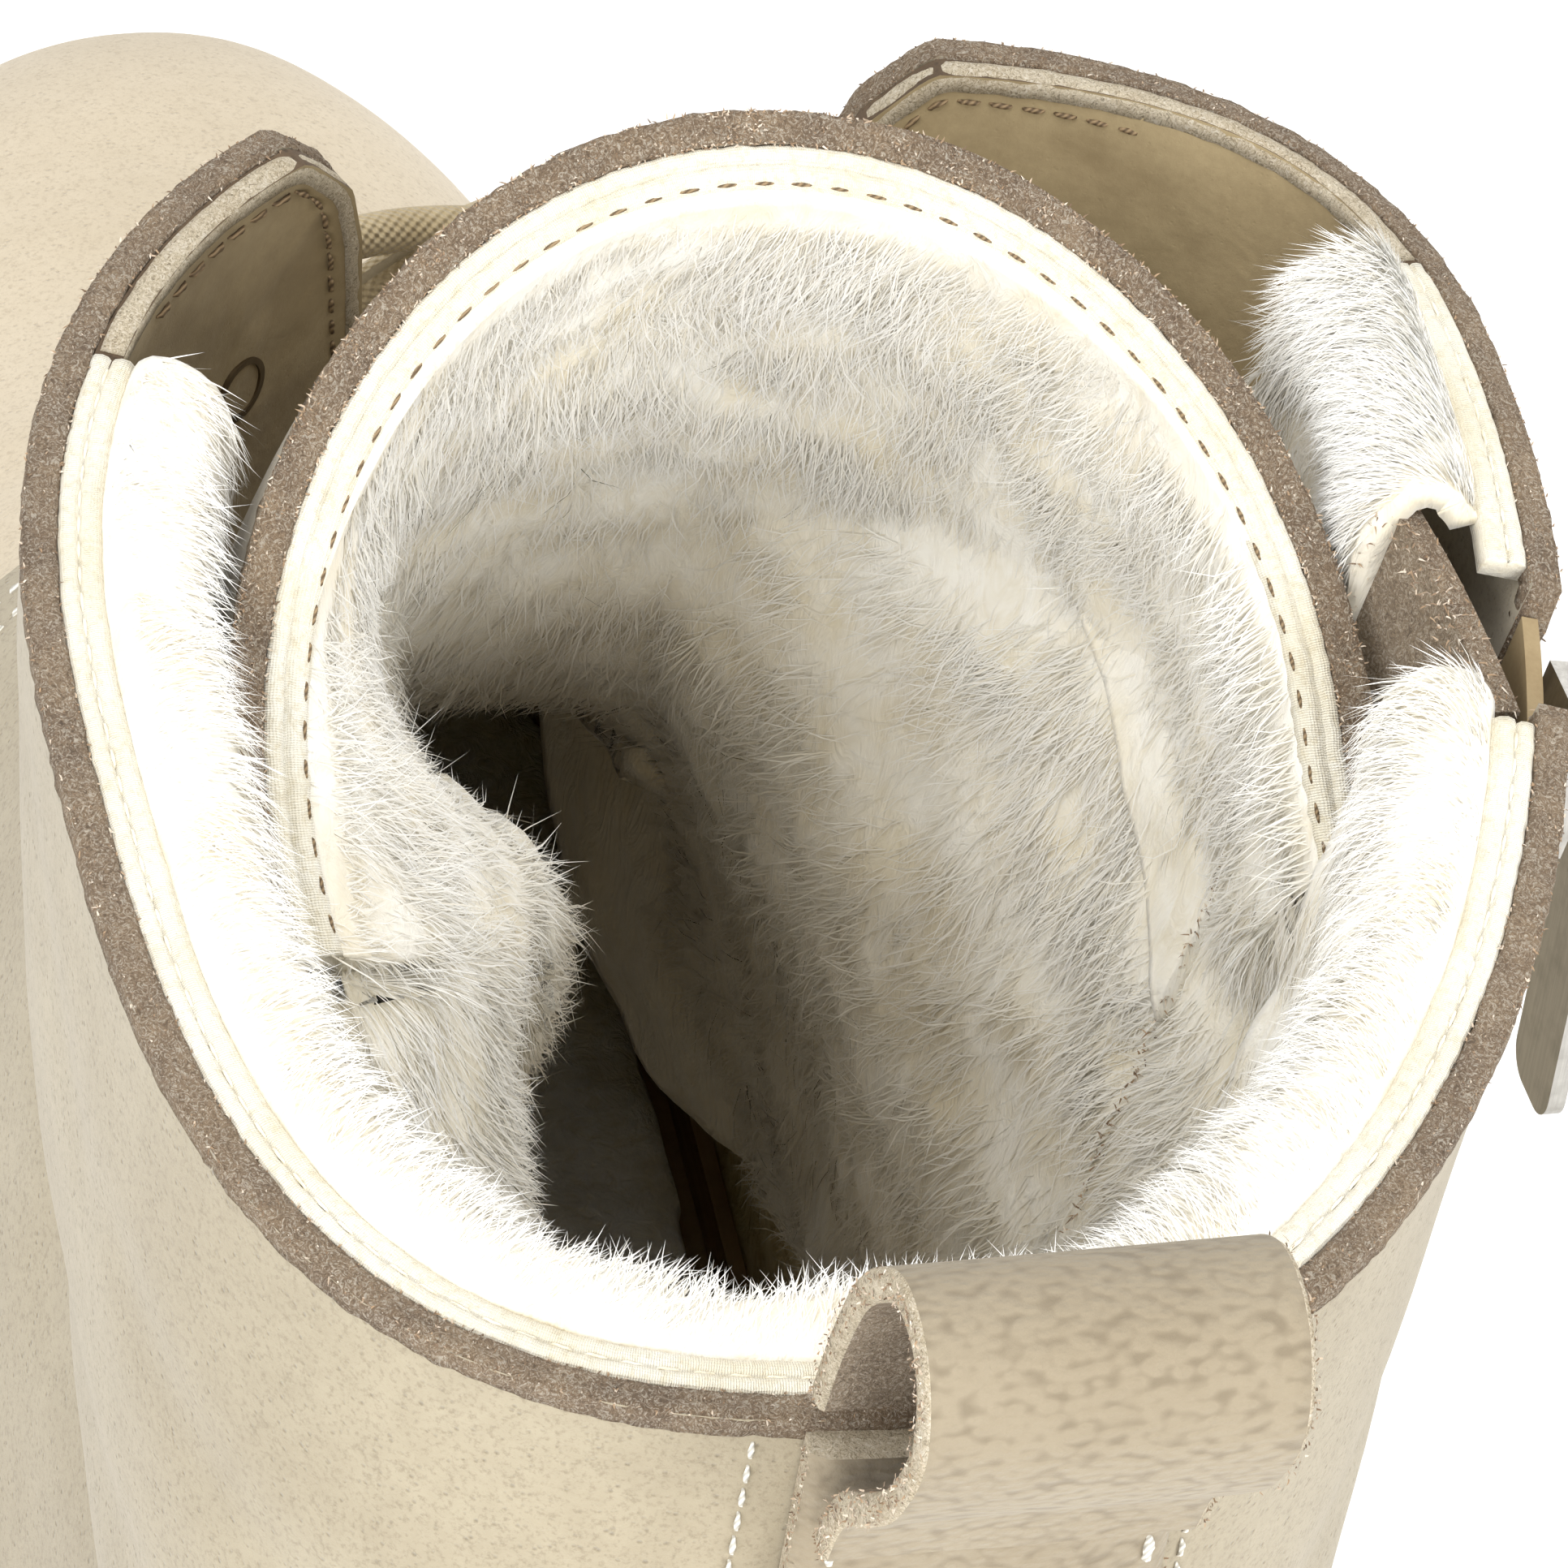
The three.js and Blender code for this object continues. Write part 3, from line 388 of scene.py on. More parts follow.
def pile_base(net):
    """The undercoat that shows between the fibres: cream, with painted shade in its hollows and the painted
    shade of the boot's deep inside.
    """
    streaks = net.noise(1.0, 4, 0.7, at=net.stretch((420, 420, 130)), warp=0.8)
    tufts = net.noise(110, 4, 0.6)
    colour = net.mix(net.band(tufts, 0.35, 0.6), shade("EEE5CE"), shade("FBF8EF"))
    # painted shade: darker where the streaks' bump is low
    colour = net.mix(net.band(streaks, 0.5, 0.34, 0.0, 0.4), colour, shade("DCCFAE"))
    colour = add_painted_shade(net, colour)
    return colour, net.bump(streaks, 0.7, 0.0006)


def deep_pile(net):
    """Short pile in the foot, coloured darker and browner as painted shade deep in the boot, darkest in its
    hollows.
    """
    tufts = net.noise(160, 5, 0.7, warp=1.0)
    # painted shade: a dark brownish pile for the shaded inside, darker where the tufts' bump is low
    colour = net.mix(net.band(tufts, 0.35, 0.65), shade("CDB98C"), shade("EADDBA"))
    return colour, net.bump(tufts, 0.8, 0.0012)


def pile_fibre(net):
    """Single fibres: cream at the root as painted shade among the fibres, nearly white at the tip, each a
    little different; deep in the boot they take the painted shade too.
    """
    tip = net.put("ShaderNodeAttribute", out="Fac", attribute_name="tip")
    tone = net.put("ShaderNodeAttribute", out="Fac", attribute_name="tone")
    # painted shade: each fibre darker towards its root
    colour = net.mix(net.band(tip, 0.0, 0.75), shade("F2EBD9"), shade("FEFDF9"))
    colour = net.mix(net.band(tone, 0.8, 1.0, 0.0, 0.35), colour, shade("E0D2AE"))
    colour = add_painted_shade(net, colour)
    return colour, net.bump(net.noise(900, 2), 0.1, 0.0001)


def crumb_fibre(net):
    """Fibres that stand out of a raw edge, from dark brown to almost white."""
    tone = net.put("ShaderNodeAttribute", out="Fac", attribute_name="tone")
    colour = net.mix(net.band(tone, 0.0, 0.5), shade("6B5744"), shade("A48A6D"))
    colour = net.mix(net.band(tone, 0.55, 1.0), colour, shade("E2D6C4"))
    return colour, net.bump(net.noise(2400, 2), 0.3, 0.0001)


def knit_tape(net):
    """Cream knitted edge tape with fine ribs across it."""
    rib = use(net, WEAVE, Scale=1.7, Rib=0.5)["Height"]
    loose = net.noise(1500, 4, 0.7)
    colour = use(net, DRIFT, Dark=shade("EBE1C6"), Light=shade("FBF7EA"), Scale=140.0)["Color"]
    colour = net.mix(net.band(loose, 0.5, 0.36, 0.0, 0.4), colour, shade("CFC09A"))
    return colour, net.bump(net.math("ADD", rib, net.math("MULTIPLY", loose, 2.0)), 0.6, 0.0002)


def woven(dark, light, scale):
    def build(net):
        weave = use(net, WEAVE, Scale=scale, Rib=1.0)["Height"]
        colour = use(net, DRIFT, Dark=shade(dark), Light=shade(light), Scale=150.0)["Color"]
        colour = net.mix(net.band(weave, 0.7, 0.2, 0.0, 0.45), colour, shade(dark))
        return colour, net.bump(weave, 0.7, 0.00025)
    return build


def thread(dark, light):
    """Two-ply thread: fine slanting ridges."""
    def build(net):
        ply = net.put("ShaderNodeTexWave", ("Vector", net.where()), ("Scale", 900.0), ("Distortion", 3.0),
                      ("Detail", 2.0), wave_type="BANDS", bands_direction="DIAGONAL")
        return net.mix(ply, shade(dark), shade(light)), net.bump(ply, 0.6, 0.0001)
    return build


def moulded(net):
    """Matt rubber with a fine moulded texture, dusty in places."""
    fine = net.noise(1700, 4, 0.6)
    colour = use(net, DRIFT, Dark=shade("A2855B"), Light=shade("B99C70"), Scale=38.0)["Color"]
    colour = use(net, SOIL, Color=colour, Soil=shade("83694A"), Scale=55.0, Amount=0.35)["Color"]
    return colour, net.bump(fine, 0.35, 0.0002)


def welt_leather(net):
    """Waxed edge leather with lengthwise layers."""
    layers = net.noise(1.0, 3, 0.6, at=net.stretch((90, 90, 1500)))
    colour = net.mix(layers, shade("93774F"), shade("B89B6F"))
    colour = use(net, SOIL, Color=colour, Soil=shade("6E5638"), Scale=70.0, Amount=0.3)["Color"]
    return colour, net.bump(layers, 0.5, 0.0003)


def satin_metal(dark, light):
    def build(net):
        brushed = net.noise(1.0, 4, 0.7, at=net.stretch((2600, 2600, 110)))
        colour = net.mix(brushed, shade(dark), shade(light))
        colour = use(net, SOIL, Color=colour, Soil=shade("5C564C"), Scale=300.0, Amount=0.3)["Color"]
        return colour, net.bump(brushed, 0.25, 0.00006)
    return build


def plain_floor(net):
    colour = net.mix(net.noise(3, 2), shade("FBFBFA"), shade("FFFFFF"))
    return colour, net.bump(net.noise(400, 2), 0.02, 0.0001)


NUBUCK = material("nubuck", nubuck("958971", "A89D85", "695C45"), 0.88, sheen=0.25, specular=0.3)
TOE_NUBUCK = material("nubuck vamp", nubuck("C0B196", "CEC0A7", "9D8C72", pore_share=0.35), 0.86, sheen=0.25,
                      specular=0.3)
LOOP_GRAIN = material("pebbled nubuck", pebbled, 0.72, sheen=0.15, specular=0.35)
RAW_EDGE = material("raw leather edge", raw_suede("7D6750", "AB9171", "E0D6C4"), 0.96, sheen=0.12,
                    specular=0.15)
RAW_SUEDE = material("raw suede", raw_suede("8A765D", "AB967A", "D6C9B6", 1300.0, 0.0004), 0.96, sheen=0.15,
                     specular=0.15)
CUT_EDGE = material("pale cut edge", raw_suede("C7B698", "DDD0B6", "F2EADB", 1700.0, 0.0003), 0.92,
                    specular=0.2)
FACING_SKIN = material("facing leather", facing_leather, 0.7, sheen=0.1, specular=0.35)
GLUE = material("glue line", nubuck("4B3B2A", "6A563F", "2C2218"), 0.8)
PILE = material("fleece undercoat", pile_base, 0.98, sheen=0.5, specular=0.1)
DEEP_PILE = material("deep fleece", deep_pile, 0.98, specular=0.1)
PILE_FIBRE = material("fleece fibre", pile_fibre, 0.75, sheen=0.35, specular=0.25)
CRUMB = material("edge fibre", crumb_fibre, 0.9, sheen=0.2, specular=0.2)
TAPE = material("knit edge tape", knit_tape, 0.93, sheen=0.3, specular=0.15)
PALE_THREAD = material("pale thread", thread("B9B5AA", "F1EEE4"), 0.7)
BROWN_THREAD = material("brown thread", thread("5C4A34", "9A8363"), 0.75)
RUBBER = material("moulded rubber", moulded, 0.78, specular=0.4)
WELT = material("welt leather", welt_leather, 0.6, specular=0.4)
ZIP_CLOTH = material("zip tape cloth", woven("8E7A59", "B8A57F", 0.5), 0.85)
LACE_CLOTH = material("lace braid", woven("A8946D", "D2C19C", 0.4), 0.85, sheen=0.2)
NICKEL = material("satin nickel", satin_metal("8F8C86", "D2CFC8"), 0.34, metallic=1.0)
OLD_BRASS = material("dark brass", satin_metal("5E5240", "8B7B60"), 0.42, metallic=1.0)
PLAIN_FLOOR = material("plain floor", plain_floor, 0.9, specular=0.2)

# ------------------------------------------------------------------ mesh tools

LATTICE = np.random.default_rng(7).uniform(-1, 1, (48, 48, 48))


def unit(vectors):
    return vectors / np.maximum(np.linalg.norm(vectors, axis=-1, keepdims=True), 1e-9)


def lumps(points, size, shift=0.0):
    """Smooth random values from -1 to 1 over space, with hills about one size across."""
    p = np.asarray(points) / size + shift + 200.0
    cell = np.floor(p).astype(int)
    f = p - cell
    f = f * f * (3 - 2 * f)
    total = 0.0
    for corner in np.ndindex(2, 2, 2):
        weight = np.prod(np.where(np.array(corner) == 1, f, 1 - f), axis=-1)
        i, j, k = np.moveaxis((cell + np.array(corner)) % 48, -1, 0)
        total = total + weight * LATTICE[i, j, k]
    return total


def grid_faces(rows, columns, round_columns=False):
    across = columns if round_columns else columns - 1
    i, j = np.meshgrid(np.arange(rows - 1), np.arange(across), indexing="ij")
    a, b = i * columns + j, i * columns + (j + 1) % columns
    return np.stack([a, b, b + columns, a + columns], -1).reshape(-1, 4)


def grid_normals(points):
    return unit(np.cross(np.gradient(points, axis=0), np.gradient(points, axis=1)))


class Piece:
    """Vertices in millimetres and faces of one object, each face with a material number."""

    def __init__(self):
        self.points, self.uvs, self.faces, self.slots, self.total = [], [], [], [], 0

    def vertices(self, points, uv=None):
        """Adds vertices and returns the number of the first."""
        points = np.asarray(points, float).reshape(-1, 3)
        self.points.append(points)
        self.uvs.append(np.zeros((len(points), 2)) if uv is None else np.asarray(uv, float).reshape(-1, 2))
        self.total += len(points)
        return self.total - len(points)

    def skin(self, faces, slot=0):
        self.faces.append(np.asarray(faces))
        self.slots.append(np.broadcast_to(slot, len(faces)))

    def add(self, points, faces, slot=0, uv=None):
        self.skin(np.asarray(faces) + self.vertices(points, uv), slot)
        return self

    def sheet(self, front, back, slots=(0, 0, 1)):
        """A closed sheet between two grids; slots are those of the front, the back and the cut edge."""
        rows, columns = front.shape[:2]
        far = rows * columns
        faces = grid_faces(rows, columns)
        ids = np.arange(far).reshape(rows, columns)
        edge = np.concatenate([ids[0, :-1], ids[:-1, -1], ids[-1, :0:-1], ids[:0:-1, 0]])
        after = np.roll(edge, -1)
        start = self.vertices(np.concatenate([front.reshape(-1, 3), back.reshape(-1, 3)]))
        self.skin(faces + start, slots[0])
        self.skin(faces[:, ::-1] + far + start, slots[1])
        self.skin(np.stack([after, edge, edge + far, after + far], -1) + start, slots[2])
        return self

    def tube(self, rings, slot=0, ends=True, uv=None):
        """A closed skin round rings of points; slot may be a row of numbers, one for each column."""
        rows, columns = rings.shape[:2]
        faces = grid_faces(rows, columns, True)[:, ::-1]
        self.add(rings, faces, np.tile(slot, rows - 1) if np.ndim(slot) else slot, uv)
        if ends:
            corner = np.arange(columns)
            fan = np.stack([np.full(columns, columns), corner, np.roll(corner, -1)], -1)
            for ring in (rings[0], rings[-1][::-1]):
                self.add(np.concatenate([ring, ring.mean(0)[None]]), fan, int(np.max(slot)))
        return self

    def make(self, name, materials, slot=None, replaces=(), sharp=48, merge=True, out=True, body=BODY):
        points = np.concatenate(self.points) * MM
        mesh = bpy.data.meshes.new(name)
        sizes = np.concatenate([np.full(len(f), f.shape[1]) for f in self.faces])
        corners = np.concatenate([f.reshape(-1) for f in self.faces])
        mesh.vertices.add(len(points))
        mesh.vertices.foreach_set("co", points.astype(np.float32).reshape(-1))
        mesh.loops.add(len(corners))
        mesh.loops.foreach_set("vertex_index", corners.astype(np.int32))
        mesh.polygons.add(len(sizes))
        mesh.polygons.foreach_set("loop_start", np.concatenate([[0], np.cumsum(sizes)[:-1]]).astype(np.int32))
        mesh.polygons.foreach_set("material_index", np.concatenate(self.slots).astype(np.int32))
        for each in materials:
            mesh.materials.append(each)
        uvs = np.concatenate(self.uvs)
        if uvs.any():
            lengths = mesh.uv_layers.new(name="lengths")
            lengths.data.foreach_set("uv", uvs[corners].astype(np.float32).reshape(-1))
        mesh.update(calc_edges=True)
        mesh.validate()
        if merge:
            work = bmesh.new()
            work.from_mesh(mesh)
            bmesh.ops.remove_doubles(work, verts=work.verts, dist=2e-6)
            if out:
                bmesh.ops.recalc_face_normals(work, faces=work.faces)
            work.to_mesh(mesh)
            work.free()
        mesh.polygons.foreach_set("use_smooth", np.ones(len(mesh.polygons), bool))
        if sharp:
            mesh.set_sharp_from_angle(angle=math.radians(sharp))
        piece = bpy.data.objects.new(name, mesh)
        bpy.context.collection.objects.link(piece)
        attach(piece, body)
        if replaces:
            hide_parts(*replaces)
        return piece


def along(path, step):
    """Points at even distances along a path, and how far along each is."""
    lengths = np.concatenate([[0], np.cumsum(np.linalg.norm(np.diff(path, axis=0), axis=1))])
    places = np.linspace(0, lengths[-1], max(int(lengths[-1] / step), 2) + 1)
    return np.stack([np.interp(places, lengths, path[:, k]) for k in range(3)], -1), places


def soften(path, times=6):
    """Rounds the corners of a path; its ends stay."""
    path = path.copy()
    for _ in range(times):
        path[1:-1] = 0.25 * path[:-2] + 0.5 * path[1:-1] + 0.25 * path[2:]
    return path


def carried(path, values, places):
    """Values given along a path, at new places along it."""
    lengths = np.concatenate([[0], np.cumsum(np.linalg.norm(np.diff(path, axis=0), axis=1))])
    lengths *= places[-1] / lengths[-1]
    return unit(np.stack([np.interp(places, lengths, values[:, k]) for k in range(3)], -1))


def band(piece, path, out, profile, slot=0, rough=0.0, grain=0.9):
    """Sweeps a closed profile of (depth, height) along a path. out points away from the leather's face, and
    height is measured in the leather's own plane, away from it."""
    ahead = unit(np.gradient(path, axis=0))
    rise = unit(np.cross(ahead, out))
    depth, height = profile[None, :, 0, None], profile[None, :, 1, None]
    rings = path[:, None] - out[:, None] * depth + rise[:, None] * height
    if rough:
        wobble = np.stack([lumps(rings, grain, s) for s in (0.3, 11.7, 23.1)], -1)
        rings = rings + rough * wobble
    step = np.linalg.norm(np.diff(path, axis=0), axis=1).mean()
    round_it = np.concatenate([[0], np.cumsum(np.linalg.norm(np.diff(profile, axis=0), axis=1))])
    uv = np.stack(np.meshgrid(np.arange(len(path)) * step + 1, round_it, indexing="ij"), -1)
    piece.tube(rings, slot, uv=uv)
    return rise


# ------------------------------------------------------------------ the last

def row_at(rows, t):
    """A table's columns at fractional rows, smoothly joined; the columns are on the last axis."""
    t = np.asarray(t, float)
    i = np.clip(np.floor(t).astype(int), 0, len(rows) - 2)
    f = (t - i)[..., None]
    a, b, c, d = (rows[np.clip(i + k, 0, len(rows) - 1)] for k in (-1, 0, 1, 2))
    return b + 0.5 * f * (c - a + f * (2 * a - 5 * b + 4 * c - d + f * (3 * (b - c) + d - a)))


def signed_power(value, power):
    return np.sign(value) * np.abs(value) ** power


def last_point(t, angle):
    t, angle = np.broadcast_arrays(np.asarray(t, float), np.asarray(angle, float))
    rows = np.moveaxis(row_at(SECTIONS, t), -1, 0)
    ridge_x, ridge_z, keel_x, keel_z, lateral, medial, belly, ridge_power, keel_power, skew = rows
    rise, across = np.sin(angle), np.cos(angle)
    keel_power = keel_power + np.where(across > 0, REAR_FILL, REAR_DRAW) * skew
    skew = np.where(across > 0, 0.0, skew)
    belly = belly + 0.17 * skew
    power = 2 / np.where(rise >= 0, ridge_power + 0.3 * skew, keel_power)
    f = belly + np.where(rise >= 0, 1 - belly, belly) * signed_power(rise, power)
    return np.stack([
        keel_x + (ridge_x - keel_x) * f,
        (lateral + medial) / 2 + (lateral - medial) / 2 * signed_power(across, power),
        keel_z + (ridge_z - keel_z) * f,
    ], -1)


def last_normal(t, angle):
    step = 0.02
    rows = last_point(np.minimum(t + step, COLLAR), angle) - last_point(np.maximum(t - step, 0), angle)
    return unit(np.cross(rows, last_point(t, angle + step) - last_point(t, angle - step)))


def skin(t, angle, distance):
    t, angle = np.broadcast_arrays(np.asarray(t, float), np.asarray(angle, float))
    return last_point(t, angle) + last_normal(t, angle) * np.asarray(distance, float)[..., None]


def angle_at_x(t, side, x):
    section = np.moveaxis(row_at(SECTIONS, t), -1, 0)
    ridge_x, _, keel_x, _, _, _, belly, ridge_power, keel_power, skew = section
    keel_power = keel_power + (REAR_FILL if side > 0 else REAR_DRAW) * skew
    skew = 0 if side > 0 else skew
    belly = belly + 0.17 * skew
    f = (x - keel_x) / (ridge_x - keel_x) - belly
    front = np.clip(f / (1 - belly), 0, 1) ** ((ridge_power + 0.3 * skew) / 2)
    rear = np.clip(-f / belly, 0, 1) ** (keel_power / 2)
    rise = np.arcsin(np.where(f >= 0, front, -rear))
    return rise if side > 0 else math.pi - rise


def angle_at_y(t, y, rear=False):
    """The angle of the row's front half, or with rear its back half, that has this y."""
    _, _, _, _, lateral, medial, _, ridge_power, keel_power, skew = np.moveaxis(row_at(SECTIONS, t), -1, 0)
    f = (y - (lateral + medial) / 2) / ((lateral - medial) / 2)
    keel_power = keel_power + np.where(f > 0, REAR_FILL, REAR_DRAW) * skew
    skew = np.where(f > 0, 0.0, skew)
    power = (keel_power if rear else ridge_power + 0.3 * skew) / 2
    angle = np.arccos(np.clip(signed_power(f, power), -1, 1))
    return -angle if rear else angle


def feather_z(x):
    return np.interp(x, FEATHER[:, 0], FEATHER[:, 1])


def wall_at(t):
    return WALL_TOE + (WALL_COLLAR - WALL_TOE) * np.asarray(t) / COLLAR


def mirror_angle(angle, side):
    return angle if side > 0 else math.pi - angle


def search(t, side, low, high, test):
    """The angle between low and high, on one side, at which test(points) turns from false to true."""
    low, high = np.full_like(t, low), np.full_like(t, high)
    for _ in range(26):
        middle = (low + high) / 2
        found = test(last_point(t, mirror_angle(middle, side)))
        low, high = np.where(found, low, middle), np.where(found, middle, high)
    return mirror_angle(high, side)


def foot_edge(side):
    """Where a row meets the feather line, or its keel at the back seam if that is higher."""
    return lambda t: search(t, side, -math.pi / 2, 0.0, lambda p: p[..., 2] > feather_z(p[..., 0]) + GAP)


def throat_edge(side):
    def angle(t):
        half = np.interp(row_at(SECTIONS, t)[..., 1], THROAT[:, 0], THROAT[:, 1])
        return angle_at_y(t, THROAT_Y + side * half)
    return angle


def fleece_edge(side):
    """Where the fleece ends and the facing's plain leather begins, or the ridge line further forward."""
    return lambda t: search(t, side, 0.0, math.pi / 2,
                            lambda p: p[..., 0] > np.interp(p[..., 2], FLEECE_LINE[:, 0], FLEECE_LINE[:, 1]))


def zip_edge(forward):
    """An edge of the zip's slit; below its foot the two sides close up to one seam."""
    def angle(t):
        open_share = np.clip((t - ZIP_FOOT + 0.25) / 0.25, 0, 1)
        return np.minimum(angle_at_x(t, -1, ZIP_X + forward * open_share), foot_edge(-1)(t))
    return angle


class Zone:
    """The last between two edges; u runs evenly over the surface from one to the other."""

    def __init__(self, start, end, rows=(0.0, COLLAR)):
        self.t = np.linspace(*rows, 260)
        first, last = start(self.t), end(self.t)
        self.u = np.linspace(0, 1, 140)
        angles = first[:, None] + (last - first)[:, None] * self.u
        steps = np.linalg.norm(np.diff(last_point(self.t[:, None], angles), axis=1), axis=2) + 1e-7
        lengths = np.concatenate([np.zeros((len(steps), 1)), np.cumsum(steps, axis=1)], axis=1)
        self.angles = np.array([np.interp(self.u * s[-1], s, a) for s, a in zip(lengths, angles)])

    def angle(self, t, u):
        i = np.clip((t - self.t[0]) / (self.t[-1] - self.t[0]) * (len(self.t) - 1), 0, len(self.t) - 1.001)
        j = np.clip(u * (len(self.u) - 1), 0, len(self.u) - 1.001)
        i0, j0 = i.astype(int), j.astype(int)
        f, g = i - i0, j - j0
        a = self.angles
        return ((a[i0, j0] * (1 - g) + a[i0, j0 + 1] * g) * (1 - f)
                + (a[i0 + 1, j0] * (1 - g) + a[i0 + 1, j0 + 1] * g) * f)

    def grid(self, t, u, distance):
        t, u = np.broadcast_arrays(np.asarray(t, float), np.asarray(u, float))
        return skin(t, self.angle(t, u), distance)


# ------------------------------------------------------------------ creases

# Soft folds where the boot bends: side (0 both), x and z of the two ends, depth, breadth.
CREASES = [
    (0, 88, 104, 52, 92, 1.3, 9), (0, 84, 118, 40, 112, 1.0, 8), (0, 74, 90, 20, 78, 0.8, 9),
    (1, 60, 132, 8, 124, 0.7, 8), (-1, 66, 134, 44, 128, 0.7, 7), (0, 166, 88, 150, 56, 0.7, 8),
    (0, 178, 84, 168, 52, 0.5, 8), (1, 10, 150, -16, 138, 0.6, 7), (1, 44, 166, 20, 150, 0.5, 8),
    (-1, 2, 140, -20, 126, 0.6, 7),
]


def creased(points):
    """How far the leather sinks or rises here: folds with a ridge on each side, and a gentle unevenness."""
    depth = 0.28 * lumps(points, 23.0) + 0.12 * lumps(points, 9.0, 4.0)
    x, y, z = np.moveaxis(points, -1, 0)
    for side, x0, z0, x1, z1, deep, wide in CREASES:
        run = np.array([x1 - x0, z1 - z0], float)
        share = ((x - x0) * run[0] + (z - z0) * run[1]) / (run @ run)
        held = np.clip(share, 0, 1)
        away = np.hypot(x - x0 - held * run[0], z - z0 - held * run[1]) / wide
        fold = (1.4 * away ** 2 - 1) * np.exp(-1.6 * away ** 2) * deep
        depth = depth + np.where(side * y >= 0, fold, 0) * np.clip(np.abs(y) / 14, 0, 1)
    return depth


def leather(zone, t, u, outside, inside):
    """The two faces of a creased leather panel."""
    base = zone.grid(t, u, 0.0)
    normal = last_normal(*np.broadcast_arrays(t, zone.angle(*np.broadcast_arrays(t, u))))
    sunk = np.minimum(creased(base), 0.9) - 0.25
    fade = np.clip((COLLAR - t) / 0.5, 0, 1)
    sunk = sunk * np.broadcast_to(fade, sunk.shape)
    front = base + normal * (outside + sunk)[..., None]
    return front, base + normal * (inside + sunk)[..., None]


# ------------------------------------------------------------------ the upper's leather

def quarter_front(u):
    """Row at which the quarters begin, over the vamp: u is 0 at the throat and 1 at the sole."""
    return 7.45 + 1.7 * u ** 1.25


def make_vamp():
    zone = Zone(foot_edge(1), foot_edge(-1), (0.0, 11.0))
    u = np.linspace(0, 1, 110)[None, :]
    spread = np.abs(2 * u - 1)
    end = np.where(spread < 0.05, 7.42, quarter_front(spread) + 0.55 * np.clip(spread * 8, 0, 1))
    t = np.linspace(0, 1, 80)[:, None] ** 1.1 * end
    front, back = leather(zone, t, u, -0.95, -3.0)
    piece = Piece().sheet(front, back)
    centre = np.concatenate([front[0], back[0]]).mean(0)
    ring = last_point(0.0, np.linspace(0, 2 * math.pi, 61)[:-1])
    inner = ring.mean(0) + (ring - ring.mean(0)) * 0.97
    cap = np.stack([inner + (ring.mean(0) - inner) * s for s in (0, 0.5, 0.98)])
    cap[..., 0] = centre[0] + 0.2 * np.array([0, 1, 1.2])[:, None]
    piece.add(cap, grid_faces(3, 60, True))
    return piece.make("vamp", [TOE_NUBUCK, RAW_EDGE], "nubuck")


def make_quarters():
    outer, inner = 0.0, -LEATHER
    lateral = Zone(throat_edge(1), foot_edge(1))
    u = np.linspace(0, 1, 70)[None, :]
    s = np.linspace(0, 1, 90)[:, None]
    t = quarter_front(u) + (COLLAR - quarter_front(u)) * s
    piece = Piece().sheet(*leather(lateral, t, u, outer, inner))
    piece.make("quarter_lateral", [NUBUCK, RAW_EDGE], "nubuck", ["upper"])
    medial = Zone(throat_edge(-1), zip_edge(ZIP_HALF))
    piece = Piece().sheet(*leather(medial, t, u, outer, inner))
    rear = Zone(zip_edge(-ZIP_HALF), foot_edge(-1), (10.6, COLLAR))
    u = np.linspace(0, 1, 44)[None, :]
    t = 10.62 + (COLLAR - 10.62) * s
    piece.sheet(*leather(rear, t, u, outer, inner))
    return piece.make("quarter_medial", [NUBUCK, RAW_EDGE], "nubuck")


def rim_path(side):
    """The collar's edge on one side, from the back seam to the throat and on down the throat's edge."""
    if side > 0:
        stretches = [(-math.pi / 2, throat_edge(1)(np.array(COLLAR)))]
    else:
        top = np.array(COLLAR)
        stretches = [(1.5 * math.pi, angle_at_x(top, -1, ZIP_X - ZIP_HALF)),
                     (angle_at_x(top, -1, ZIP_X + ZIP_HALF), throat_edge(-1)(top))]
    paths = []
    for k, (start, end) in enumerate(stretches):
        angles = np.linspace(float(start), float(end), 240)
        t = np.full(240, COLLAR)
        if k == len(stretches) - 1:
            t = np.concatenate([t, np.linspace(COLLAR, 7.5, 200)[1:]])
            angles = np.concatenate([angles, throat_edge(side)(t[240:])])
        else:
            t = np.concatenate([t, np.linspace(COLLAR, ZIP_FOOT, 160)[1:]])
            angles = np.concatenate([angles, angle_at_x(t[240:], -1, ZIP_X - ZIP_HALF)])
        if side < 0 and k == 1:
            down = np.linspace(ZIP_FOOT, COLLAR, 160)[:-1]
            t = np.concatenate([down, t])
            angles = np.concatenate([angle_at_x(down, -1, ZIP_X + ZIP_HALF), angles])
        paths.append((t, angles))
    return paths


def path_frame(t, angles, step=0.7, inset=0.0):
    path, out = skin(t, angles, -inset), last_normal(t, angles)
    path = soften(path, 10)
    even, places = along(path, step)
    return even, carried(path, out, places)


RAW_PROFILE = np.array([
    (-0.1, -1.5), (-0.16, -0.4), (0.0, 0.05), (0.45, 0.22), (0.95, 0.2), (1.25, 0.12), (1.6, 0.24),
    (2.1, 0.18), (RAW, -0.12), (RAW + 0.05, -1.5),
])
TAPE_PROFILE = np.array([
    (2.3, -1.6), (2.34, -0.2), (2.6, 0.14), (3.1, 0.26), (3.5, 0.2), (3.72, -0.16), (3.95, 0.18),
    (4.4, 0.3), (5.0, 0.2), (TAPE_DEPTH, -0.2), (TAPE_DEPTH + 0.1, -1.6),
])


